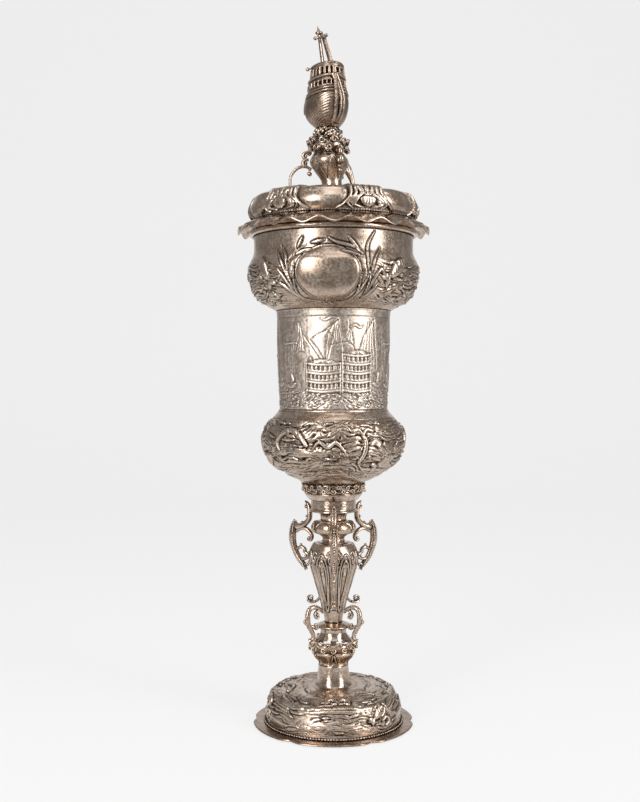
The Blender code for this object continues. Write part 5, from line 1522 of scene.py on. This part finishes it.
        outline = [head, between(head, right, 0.4 * belly), right, between(left, right, 0.0, 1.4), left]
        relief.patch(outline + [between(head, left, belly)], 0.45, rim=3.5, smooth=False, sunk=0.4)
        for k in range(folds):
            share = (k + 1) / (folds + 1)
            foot = (left[0] + share * (right[0] - left[0]), left[1] + share * (right[1] - left[1]) + 1.5)
            fold = [between(head, foot, 0.0, 12.0), between(head, foot, belly * (1 - 0.6 * share)), foot]
            relief.groove(fold, 0.4, 0.4)

    def boat(self, relief: Relief, middle: float, sea: float) -> None:
        """Chases a small open boat with a sail.

        Args:
            relief: The drum's relief.
            middle: Where it is.
            sea: Height of the water.
        """
        hull = [(middle - 6, sea + 3), (middle - 3, sea), (middle + 4, sea), (middle + 7, sea + 4)]
        relief.patch(hull, 0.7, rim=1.0)
        relief.stroke([(middle, sea + 3), (middle + 1, sea + 13)], 0.4, 0.6, (1, 0.6))
        relief.patch([(middle + 1, sea + 12), (middle + 5, sea + 6), (middle + 1, sea + 4.5)], 0.55, rim=1.0)

    def upper_bowl(self) -> None:
        """Builds the bulged upper bowl with its cartouche, reeds and fish."""
        piece = Turned("upper_bowl", self.upper, wall=self.wall, columns=680, rows=126, seed=41)
        relief = piece.relief
        phase = relief.sea(391.0, 355.0, spacing=2.5, height=1.0, wander=1.5)
        relief.wavelets(phase, 388.0, 358.0, count=240, size=(8.0, 0.9, 1.25))
        off = np.abs(off_centre(relief.turn - self.cartouche_turn, 2))
        relief.height *= np.clip((off - 30.0) / 9.0, 0.12, 1.0)[None, :]
        for back in (0, 180):
            relief.fish(back - 51.0, 382.5, length=27.0, heading=117.0, height=1.8)
            relief.fish(back + 43.5, 383.0, length=29.0, heading=41.0, height=1.8)
            self.cartouche(relief, back)
            self.reeds(relief, back)
        self.shop.finish("upper_bowl_dressed", piece.mesh(), self.shop.chased, "upper_bowl")

    def cartouche(self, relief: Relief, turn: float) -> None:
        """Clears a smooth oval and rings it.

        Args:
            relief: The bowl's relief.
            turn: How far round from the front.
        """
        points = []
        for k in range(24):
            angle = 2 * math.pi * k / 24
            points.append((self.cartouche_half_turn * math.sin(angle), 379.5 + 22.3 * math.cos(angle)))
        points = swung(turn + self.cartouche_turn, points)
        relief.patch(points, 1.1, rim=7.0, sunk=0.5)
        relief.stroke(points, 0.5, 0.75, closed=True, sunk=0.4)
        for centre in (-6.5, -1.5):
            loop = [(2.4 * math.cos(a), 357.4 + 2.0 * math.sin(a)) for a in np.arange(0, 6.2, 1.05)]
            relief.stroke(swung(turn + centre, loop), 0.45, 0.8, closed=True)

    def reeds(self, relief: Relief, turn: float) -> None:
        """Chases the reeds and cattails round the oval.

        Args:
            relief: The bowl's relief.
            turn: How far round from the front.
        """
        leaves = (
            (
                [(-8.2, 357.9), (-22.3, 359.1), (-28, 367), (-30.8, 377.1), (-31.7, 384.3), (-28.7, 391.3)],
                0.9,
            ),
            ([(-16.9, 357.1), (-25.3, 361.1), (-27.3, 370), (-27.4, 376.9), (-26.3, 387)], 0.9),
            ([(-22.9, 358.2), (-29.6, 364.1), (-36.5, 370.5), (-43, 374.9)], 1.5),
            ([(-25.9, 360.2), (-31.3, 370.2), (-35.7, 378.5), (-41.4, 386)], 1.5),
            ([(-30.6, 373.1), (-34.1, 384.5), (-36.3, 389.8), (-41.9, 399.9)], 1.4),
            ([(-31.3, 382.2), (-32.6, 391.6), (-35.7, 398.3), (-38.5, 402.8)], 1.3),
            ([(-28.7, 391.3), (-24.3, 398.5), (-19.6, 402.3)], 0.6),
            ([(28.2, 413.3), (23.8, 404.7), (22.2, 397.3), (21.5, 386.7), (23.3, 376.7)], 1.4),
            ([(32.6, 400.7), (28, 393.4), (25.4, 386.9), (24.2, 376.8)], 1.2),
            ([(22.7, 363.8), (25.8, 372.9), (30.4, 382.2), (33, 380.3), (39.6, 367.6)], 1.4),
            ([(2.1, 357), (10.2, 358), (16.1, 363.6), (20.5, 371.7), (22.3, 378.7), (20.6, 386.7)], 0.9),
            ([(14.3, 360.8), (16.8, 368.6), (17, 374.5), (18.6, 381.5)], 0.8),
            ([(19.7, 360), (22.2, 366.8), (23.6, 374.8), (23, 382.8)], 0.8),
            ([(19.9, 359.5), (25.4, 364.9), (30.8, 372.1)], 1.3),
        )
        for points, width in leaves:
            relief.stroke(swung(turn, points), 0.85 * width, 1.2, (0.4, 0.05), vein=0.35, sunk=0.4)
        heads = (
            [(-25.6, 400.7), (-22.4, 408.3)],
            [(-25.5, 394.8), (-20.5, 397.5), (-16.1, 398.6)],
            [(-15.6, 403.8), (-6.8, 405.9)],
            [(-3.8, 407.6), (1.7, 404), (8.5, 402.1), (15.3, 399.1)],
            [(9.4, 408.7), (13.8, 402.2), (18.3, 395)],
            [(5, 397.2), (11, 395.4), (16, 393.3)],
        )
        for points in heads:
            relief.stroke(swung(turn, points), 1.45, 1.3, (0.5, 0.5), vein=0.2, sunk=0.4)

    def lip(self) -> None:
        """Builds the rounded lip moulding."""
        outline = ((71.0, 1.0), (72.1, 0.88), (72.5, 0.65), (72.5, 0.4), (72.0, 0.14), (70.8, 0.0))
        piece = Turned("lip_ring", outline, bore=self.lip_inner, columns=240, rows=18)
        self.shop.finish("lip", piece.mesh(), self.shop.turned, "lip_ring")


@dataclass
class Cover(Assembly):
    """The bezel, the waved brim and the bossed dome of the cover."""

    dome: Outline = (
        (26.0, 448.7), (41.0, 449.7), (56.0, 451.5), (67.0, 449.5), (70.7, 444.1), (72.9, 438.1),
        (71.4, 432.5), (67.8, 429.1),
    )
    turn: float = -8.0
    bosses: int = 6
    boss_half_angle: float = 17.0
    boss_middle: float = 0.665
    boss_half_length: float = 0.35
    squareness: float = 2.4
    boss_relief: float = 2.6
    bearer_radius: float = 70.6
    brim_radius: float = 82.4
    brim_drop: float = 7.8
    waves: int = 20
    wave_height: float = 2.2
    wave_turn: float = -9.0

    def build(self) -> None:
        """Builds the cover's three pieces."""
        self.bezel()
        self.brim()
        self.top()

    def bezel(self) -> None:
        """Builds the ring that goes into the mouth and the bearer above it."""
        low, high = level("cover_bezel"), level("cover_bezel", 1)
        step, round_edge = (high - 6.8 - low) / (high - low), 0.3 / (high - low)
        outline = ((70.6, 1.0), (70.6, step + round_edge), (70.3, step), (66.8, step), (66.8, 0.0))
        mesh = Turned("cover_bezel", outline, bore=65.6, columns=180, rows=60, bend=1).mesh()
        mesh.set_sharp_from_angle(angle=math.radians(40))
        self.shop.finish("bezel", mesh, self.shop.turned, "cover_bezel")

    def brim(self) -> None:
        """Builds the waved brim with its rolled edge."""
        base, bore = 427.6, 65.6
        width = self.brim_radius - self.bearer_radius
        rows = []
        for share, lift in ((0.0, 0), (0.3, 0.1), (0.6, 0.2), (0.85, 0.2), (0.96, 0.2)):
            rows.append((self.bearer_radius + share * width, base + 1.2 - share * self.brim_drop + lift))
        rows.append((self.brim_radius - 0.05, base + 0.5 - self.brim_drop))
        for share in (0.96, 0.6, 0.3, 0.0):
            rows.append((self.bearer_radius + share * width, base - share * self.brim_drop - 0.1))
        bm = spun(rows + [(bore, base), (bore, base + 1.2)], 480)
        for vertex in bm.verts:
            radius, angle = polar(vertex.co)
            share = max(0.0, (radius - self.bearer_radius) / width)
            wave = math.cos(math.radians(self.waves * (angle - self.wave_turn)))
            vertex.co.z += self.wave_height * share * wave
        self.shop.finish("brim", closed_mesh(bm, "brim", MM), self.shop.turned, "cover_flange")

    def top(self) -> None:
        """Builds the dome with its six bosses and the chased panels between them."""
        low, high = level("cover_dome"), level("cover_dome", 1)
        outline = [(radius, (height - low) / (high - low)) for radius, height in self.dome]
        grid = {"columns": 640, "rows": 120, "placed_by": PlacedBy.RUN, "seed": 51}
        piece = Turned("cover_dome", outline, wall=3.6, dirt=0.65, **grid)
        relief = piece.relief
        end = relief.along[-1]
        across = np.abs(off_centre(relief.turn - self.turn, self.bosses)) / self.boss_half_angle
        down = np.abs(relief.along / end - self.boss_middle) / self.boss_half_length
        out = across[None, :] ** self.squareness + down[:, None] ** self.squareness
        fade = np.clip(np.minimum(relief.along - 0.2 * end, end - relief.along) / (0.1 * end), 0, 1)[:, None]
        relief.height -= fade * self.boss_relief * (1 - np.sqrt(np.clip(1 - out, 0, 1)))
        for k in range(self.bosses):
            self.boss_ribs(relief, self.turn + 60 * k, end)
            self.panel(relief, self.turn + 30 + 60 * k, end)
        for k in range(180):
            relief.dot(2 * k, end - 1.3, 0.95, 0.8)
        mesh = piece.mesh()
        self.centre(mesh)
        self.shop.finish("cover_top", mesh, self.shop.chased, "cover_dome")

    def centre(self, mesh: bpy.types.Mesh) -> None:
        """Closes the dome's middle with the flat disc that the finial stands on.

        Args:
            mesh: The dome's mesh.
        """
        bm = spun([(2.2, 448.75), (24.0, 448.75), (24.0, 447.5), (2.2, 447.5)], 120)
        bmesh.ops.scale(bm, vec=(MM, MM, MM), verts=bm.verts)
        bm.from_mesh(mesh)
        bm.to_mesh(mesh)
        bm.free()
        mesh.shade_smooth()
        mesh.set_sharp_from_angle(angle=math.radians(80))

    def boss_ribs(self, relief: Relief, middle: float, end: float) -> None:
        """Chases the ribs that hug a boss and run out under the panels.

        Args:
            relief: The dome's relief.
            middle: The boss's middle.
            end: Length of the run.
        """

        def edge(share: float, gap: float) -> float:
            """Gives the boss's half angle at a share of the run, widened by a gap."""
            down = min(1.0, abs(share - self.boss_middle) / self.boss_half_length)
            return self.boss_half_angle * (1 - down**self.squareness) ** (1 / self.squareness) + gap

        for side in (-1, 1):
            for gap, low, reach, width in (
                (2.0, 0.965, 9.0, 1.2),
                (5.2, 0.955, 20.0, 1.5),
                (8.8, 0.94, 27.0, 1.4),
            ):
                shares = (0.36, 0.46, 0.56, 0.67, 0.77)
                rib = [(middle + side * edge(share, gap), share * end) for share in shares]
                rib += [(middle + side * (13.5 + 0.6 * gap), 0.88 * end), (middle + side * reach, low * end)]
                relief.stroke(rib, 1.1 * width, 1.05, (0.5, 0.35), sunk=0.35)

    def panel(self, relief: Relief, middle: float, end: float) -> None:
        """Chases a shell with leaves and curls between two bosses.

        Args:
            relief: The dome's relief.
            middle: The panel's middle.
            end: Length of the run.
        """
        for lean in (-6.4, 0.0, 6.4):
            leaf = [(0.2 * lean, 0.78), (0.7 * lean, 0.68), (lean, 0.56), (0.8 * lean, 0.42)]
            relief.stroke(swung(middle, leaf, end), 2.8, 1.0, (0.3, 0.35), vein=0.2, sunk=0.3)
        fan = [(-5.4, 0.83), (-3.4, 0.9), (0.0, 0.93), (3.4, 0.9), (5.4, 0.83), (2.6, 0.79), (-2.6, 0.79)]
        relief.patch(swung(middle, fan, end), 1.0, rim=1.6, sunk=0.35)
        for angle in (-2.4, 0.0, 2.4):
            relief.groove([(middle + 0.5 * angle, 0.8 * end), (middle + angle, 0.9 * end)], 0.4, 0.4)
        for side in (-1, 1):
            leaf = [(side * 5.6, 0.78), (side * 8.4, 0.85), (side * 10.6, 0.92)]
            relief.stroke(swung(middle, leaf, end), 1.9, 0.9, (0.5, 0.3), vein=0.2, sunk=0.2)


@dataclass
class Finial(Assembly):
    """The leaning vase, wreath, wave mount and brackets under the ship."""

    shift: float = 6.0
    bend: float = 28.0
    foot_level: float = 454.9
    plate: Outline = ((11.8, 1.0), (15.2, 0.45), (19.0, 0.25), (19.0, 0.0))
    vase: Outline = ((13.4, 1.0), (16.8, 0.8), (14.3, 0.6), (8.8, 0.3), (10.1, 0.0))
    mount: Outline = ((9.0, 1.0), (12.0, 0.6), (11.0, 0.0))
    wreath_body: float = 16.2
    curls: int = 10
    sides: dict[str, float] = field(default_factory=lambda: {"left": -93.0, "front": 27.0, "back": 147.0})

    def lean(self, points: np.ndarray) -> np.ndarray:
        """Shifts points to the left with height, as the real finial is bent.

        Args:
            points: Where they are, in millimetres.

        Returns:
            Where they go.
        """
        rise = np.maximum(0.0, points[:, 2] - self.foot_level)
        points[:, 0] -= self.shift * (1 - np.exp(-rise / self.bend))
        return points

    def build(self) -> None:
        """Builds the finial's pieces below the ship."""
        plate = Turned("finial_plate", self.plate, bore=2.1, columns=96, rows=24, bend=1)
        self.shop.finish("plate", plate.mesh(), self.shop.turned, "finial_plate")
        vase = Turned("finial_vase", self.vase, bore=2.1, columns=160, rows=70)
        relief = vase.relief
        for k in range(6):
            for side in (-1, 1):
                relief.groove([(60 * k - 20, 466.0), (60 * k - 20 + side * 24, 483.0)], 0.45, 0.5)
        self.shop.finish("urn", vase.mesh(self.lean), self.shop.chased, "finial_vase")
        mount = Turned("wave_mount", self.mount, bore=2.1, columns=180, rows=36, seed=61)
        crests = mount.relief.noise(6.0, 3.5) + 0.6 * mount.relief.noise(3.0, 2.0)
        mount.relief.height += mount.relief.band(509.4, 500.9, 1.0) * 1.5 * crests
        for k in range(21):
            angle, place = 360.0 * k / 21, 503.0 + 2.2 * (k % 3)
            crest = [(-16, place - 1.2), (0, place + 1.6), (13, place + 0.6), (9, place - 1.0)]
            mount.relief.stroke(swung(angle, crest), 1.2, 1.1, (0.3, 0.5), sunk=0.5)
        self.shop.finish("waves", mount.mesh(self.lean), self.shop.cast, "wave_mount")
        self.wreath()
        for side, angle in self.sides.items():
            self.bracket(side, angle)

    def wreath(self) -> None:
        """Builds the wreath of small curled scrolls."""
        low, high = level("finial_wreath"), level("finial_wreath", 1)
        casting = Casting("curls")
        middle = 0.5 * (low + high)
        casting.sweep(ring(self.wreath_body - 5.0, middle), 4.6)
        casting.rosettes(2 * self.curls, self.wreath_body + 0.9, low + 3.1, high - 3.0, 2.9)
        self.shop.finish("curl_wreath", casting.mesh(self.lean), self.shop.cast, "finial_wreath")

    def bracket(self, side: str, angle: float) -> None:
        """Builds a small bracket with its tendril.

        Args:
            side: Its side.
            angle: Where it stands.
        """
        casting = Casting("finial_scroll", upright(angle))
        upper = [(15, 488, 0.7), (18, 489.8, 0.9), (21.4, 488.6, 1), (21.9, 485.6, 1)]
        casting.leaf_band(upper + [(19.6, 484.4, 0.9)], 1.45, 2)
        lower = [(17.6, 483.2, 0.8), (20.6, 483.2, 1), (22.8, 480.8, 1.1), (21.4, 477.8, 1)]
        casting.leaf_band(lower + [(18.9, 478.4, 0.8)], 1.45, 2)
        for x, y, radius in ((19.6, 486.6, 1.3), (20, 480.6, 1.3), (18, 471.2, 2.1), (17.6, 475, 1.4)):
            casting.ball(x, y, radius)
        tendril = [
            (16, 475.2, 0.9), (20.7, 477.4, 1), (26, 477, 1), (30.7, 474, 1),
            (34.6, 469, 0.95), (36.2, 461.5, 0.9), (36.4, 456, 0.8), (36.1, 451, 0.8),
        ]
        casting.leaf_band(tendril, 1.35, 1.8)
        mesh = casting.mesh(self.lean)
        self.shop.finish(f"tendril_{side}", mesh, self.shop.cast, f"finial_bracket_{side}")


@dataclass
class Ship(Assembly):
    """The ship on the cover: hull, decks, gallery, rail, rudder and masts."""

    finial: Finial
    heading: float = 18.0
    gallery: Outline = ((13.8, 1.0), (14.8, 0.3), (14.8, 0.0))
    rail: Outline = ((13.8, 1.0), (14.3, 0.5), (13.8, 0.0))
    wale: float = 10.5
    plank: float = 2.3
    round_it: Sequence[int] = range(-180, 181, 15)
    port_belly: float = 0.13
    hull_run: Outline = ((14.8, 1.0), (15.8, 0.78), (18.0, 0.5), (15.5, 0.2), (9.0, 0.0))
    wall: float = 1.5
    base: float = 509.8
    rise: float = 39.8
    aft_stretch: float = 1.45
    bow_pinch: float = 0.45
    sheer: float = 0.06
    sheer_rounding: float = 6.0

    def drawn_out(self, fore_stretch: float) -> Reshape:
        """Gives the change from a turned shape to the ship's plan.

        Args:
            fore_stretch: How far the bow is drawn out.

        Returns:
            A function of the points.
        """

        def shape(points: np.ndarray) -> np.ndarray:
            """Draws points out, turns them to the ship's heading and leans them.

            Args:
                points: Where they are, in millimetres.

            Returns:
                Where they go.
            """
            x, y, z = points.T
            share = np.clip((z - self.base) / self.rise, 0, 1)
            radius = np.maximum(1e-9, np.hypot(x, y))
            aft = y * (1 + (self.aft_stretch - 1) * (0.5 + 0.5 * share))
            fore = y * (1 + (fore_stretch - 1) * (0.35 + 0.65 * share))
            along = np.where(y < 0, aft, fore)
            pinch = self.bow_pinch * (fore_stretch > 1)
            across = np.where(y < 0, x, x * (1 - pinch * (y / radius) ** 2))
            lifted = z + share * self.sheer * (np.hypot(along, self.sheer_rounding) - self.sheer_rounding)
            turn = math.radians(self.heading)
            port = across * math.cos(turn) - along * math.sin(turn)
            belly = np.where(port < 0, 1 + self.port_belly * np.exp(-(((share - 0.25) / 0.26) ** 2)), 1.0)
            astern = across * math.sin(turn) + along * math.cos(turn)
            return self.finial.lean(np.column_stack((port * belly, astern, lifted)))

        return shape

    def build(self) -> None:
        """Builds the ship's pieces."""
        grid = {"columns": 420, "rows": 110, "placed_by": PlacedBy.RUN, "seed": 71}
        hull = Turned("ship_hull", self.hull_run, wall=self.wall, **grid)
        self.planks(hull.relief)
        self.shop.finish("hull", hull.mesh(self.drawn_out(1.9)), self.shop.ship, "ship_hull")
        gallery = Turned("stern_gallery", self.gallery, wall=self.wall, columns=360, rows=36, bend=4)
        for k in range(24):
            wide, tall = (2.6, 4.0) if k in (0, 1) else (1.4, 6.2)
            gallery.relief.window(12.0 + 15.0 * k if k < 2 else 5.0 + 15.0 * k, 554.6, wide, tall, 0.9)
        gallery.relief.stroke([(a, 550.6) for a in range(-180, 181, 15)], 0.7, 0.7, (1, 1))
        self.shop.finish("gallery", gallery.mesh(self.drawn_out(0.28)), self.shop.ship, "stern_gallery")
        rail = Turned("gallery_rail", self.rail, wall=self.wall, columns=180, rows=30, bend=4)
        self.shop.finish("rail", rail.mesh(self.drawn_out(0.28)), self.shop.ship, "gallery_rail")
        for node in ("main_deck", "poop_deck"):
            dress_node(node, self.shop.ship)
        for node, by in (("main_mast", 0.55), ("stay_spar", 0.4), ("crow_nest", 0.3), ("top_yard", 0.2)):
            self.shop.finish(f"stout_{node}", stouter(node, by), self.shop.ship, node)
        for node in ("side_knob", "rudder", "mast_spike"):
            dress_node(node, self.shop.ship)

    def planks(self, relief: Relief) -> None:
        """Works the hull's planks, mouldings, windows, stern band and side ropes.

        Args:
            relief: The hull's relief.
        """
        side = np.sin(np.radians(relief.turn) / 2) ** 2
        wale = self.wale + 3.0 * side
        below = relief.along[:, None] - wale[None, :]
        lines = np.mod((relief.along[:, None] - 23.0 * side[None, :]) / self.plank, 1.0)
        lines = np.exp(-((np.minimum(lines, 1 - lines) / 0.15) ** 2))
        relief.height -= 0.24 * lines * np.clip(below - 1.0, 0, 1)
        for place in (0.0, self.wale, self.wale + 2.4):
            drop = 3.0 if place else 0.0
            run = [(a, 0.9 + place + drop * math.sin(math.radians(a) / 2) ** 2) for a in self.round_it]
            relief.stroke(run, 0.8, 0.9, (1, 1))
        for k in range(26):
            relief.window(-5.0 - 13.4 * k, 6.6, 2.0, 3.2, 0.9)
        for off in (-5.0, 5.0):
            band = [(0, 0.5), (15, 10), (21, 21), (23, 32), (18, 39)]
            relief.stroke(swung(off, band), 2.0, 1.2, (1, 0.8), sunk=0.45)
        for turn in (-112.0, 112.0):
            relief.stroke([(turn, 13.0), (turn - 2.0, 20.0), (turn, 28.0)], 1.1, 1.0, (0.6, 0.6), sunk=0.4)


def stouter(node: str, by: float) -> bpy.types.Mesh:
    """Copies a CAD node's mesh and pushes its surface outwards.

    Args:
        node: The node's name.
        by: How far, in millimetres.

    Returns:
        The copy.
    """
    bm = bmesh.new()
    bm.from_mesh(bpy.data.objects[node].data)
    merge(bm, 0.01 * MM)
    bm.normal_update()
    for vertex, normal in [(vertex, vertex.normal.copy()) for vertex in bm.verts]:
        vertex.co += by * MM * normal
    mesh = closed_mesh(bm, node)
    mesh.set_sharp_from_angle(angle=math.radians(40))
    return mesh


def dress_node(node: str, material: bpy.types.Material) -> None:
    """Gives a CAD node's object a finish.

    Args:
        node: The node's name.
        material: Its finish.
    """
    obj = bpy.data.objects[node]
    if not obj.material_slots:
        obj.data.materials.append(None)
    for slot in obj.material_slots:
        slot.material = material


@dataclass
class Studio:
    """A sheet of pale paper that sweeps up behind the cup, three soft lamps and the camera."""

    near_colour: str = "#F7F7F7"
    far_colour: str = "#F6F6F6"
    glow: float = 0.84
    half_width: float = 1.25
    paper_run: Outline = (
        (-0.4, 0.0), (1.2, 0.0), (1.75, 0.04), (2.1, 0.2), (2.3, 0.5), (2.4, 1.0), (2.4, 2.4),
    )
    world_grey: float = 0.32
    frame_height: int = 802
    focal_pixels: float = 1070.0
    sensor: float = 36.0
    camera_place: tuple[float, float, float] = (-0.0116, -0.923, 0.2962)
    shift_up: float = -0.0304

    def build(self) -> None:
        """Builds the stage."""
        self.floor()
        self.lamps()
        self.world()
        self.camera()

    def paper(self) -> bpy.types.Material:
        """Makes matt paper, white near the cup and greyer far behind, that glows a little to the camera.

        Returns:
            The material.
        """
        material, add = blank_material("pale_paper")
        place = add("TexCoord").outputs["Object"]
        back = add("SeparateXYZ", {0: place}).outputs["Y"]
        behind = add("MapRange", {"Value": back, "From Min": 0.2, "From Max": 2.3})
        tones = {0: behind, 6: linear(self.near_colour), 7: linear(self.far_colour)}
        colour = add("Mix", tones, data_type="RGBA").outputs[2]
        seen = add("LightPath").outputs
        either = seen["Is Camera Ray"]
        for way in ("Is Glossy Ray", "Is Transmission Ray"):
            either = add("Math", {0: either, 1: seen[way]}, operation="ADD", use_clamp=True)
        share = add("Math", {0: either, 1: self.glow}, operation="MULTIPLY")
        matt = add("BsdfDiffuse", {"Color": colour})
        glow = add("Emission", {"Color": colour, "Strength": 1.0})
        mixed = add("MixShader", {0: share, 1: matt, 2: glow})
        add("OutputMaterial", {"Surface": mixed})
        return material

    def floor(self) -> None:
        """Builds the sheet of paper: a level floor that curves up into the backdrop."""
        bm = bmesh.new()
        run = smooth_route(self.paper_run, 6)
        left = [bm.verts.new((-self.half_width, y, z)) for y, z in run]
        edges = [bm.edges.new(pair) for pair in zip(left, left[1:])]
        swept = bmesh.ops.extrude_edge_only(bm, edges=edges)["geom"]
        moved = [item for item in swept if isinstance(item, bmesh.types.BMVert)]
        bmesh.ops.translate(bm, verts=moved, vec=(2 * self.half_width, 0.0, 0.0))
        bmesh.ops.recalc_face_normals(bm, faces=bm.faces)
        mesh = closed_mesh(bm, "paper_sweep")
        mesh.materials.append(self.paper())
        sweep = bpy.data.objects.new("paper_sweep", mesh)
        bpy.context.scene.collection.objects.link(sweep)

    def lamps(self) -> None:
        """Builds the two tall soft lamps and a weak one above."""
        target = Vector((0.0, 0.0, 0.3))
        for name, azimuth, height, distance, width, tall, radiance in (
            ("left_lamp", -34.0, 0.75, 1.3, 0.45, 1.4, 8.0),
            ("right_lamp", 56.0, 0.75, 1.3, 0.45, 1.4, 7.0),
            ("top_lamp", 10.0, 1.9, 0.7, 0.9, 0.9, 2.0),
        ):
            lamp = bpy.data.lights.new(name, "AREA")
            lamp.shape = "RECTANGLE"
            lamp.size = width
            lamp.size_y = tall
            lamp.energy = radiance * math.pi * width * tall
            obj = bpy.data.objects.new(name, lamp)
            turn = math.radians(azimuth)
            obj.location = (distance * math.sin(turn), -distance * math.cos(turn), height)
            obj.rotation_euler = (target - obj.location).to_track_quat("-Z", "Y").to_euler()
            bpy.context.scene.collection.objects.link(obj)

    def world(self) -> None:
        """Lights the room with an even grey."""
        world = bpy.data.worlds.new("room")
        world.use_nodes = True
        world.node_tree.nodes.clear()
        add = partial(add_node, world.node_tree)
        inputs = {"Color": (1.0, 0.98, 0.965, 1.0), "Strength": self.world_grey}
        add("OutputWorld", {"Surface": add("Background", inputs)})
        bpy.context.scene.world = world

    def camera(self) -> None:
        """Sets the camera at the photograph's angle."""
        camera = bpy.data.cameras.new("camera")
        camera.sensor_fit = "VERTICAL"
        camera.sensor_height = self.sensor
        camera.lens = self.sensor * self.focal_pixels / self.frame_height
        camera.shift_y = self.shift_up
        camera.dof.use_dof = False
        obj = bpy.data.objects.new("camera", camera)
        obj.location = self.camera_place
        obj.rotation_euler = (math.pi / 2, 0.0, 0.0)
        bpy.context.scene.collection.objects.link(obj)
        bpy.context.scene.camera = obj
        bpy.context.scene.view_settings.view_transform = "Standard"


def main() -> None:
    """Builds the studio, then the cup's sub-assemblies in order."""
    logging.basicConfig(level=logging.INFO, format="%(name)s %(message)s")
    Studio().build()
    shop = Workshop()
    for assembly in (Foot, Stem, Scrollwork, Bowl):
        assembly(shop).build()
    shop.body = Body.COVER
    Cover(shop).build()
    finial = Finial(shop)
    finial.build()
    Ship(shop, finial).build()
    for node in ("tie_rod", "bearing_washer", "rod_nut", "finial_stud", "finial_washer", "finial_nut"):
        dress_node(node, shop.steel)
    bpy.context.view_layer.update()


if __name__ == "__main__":
    main()
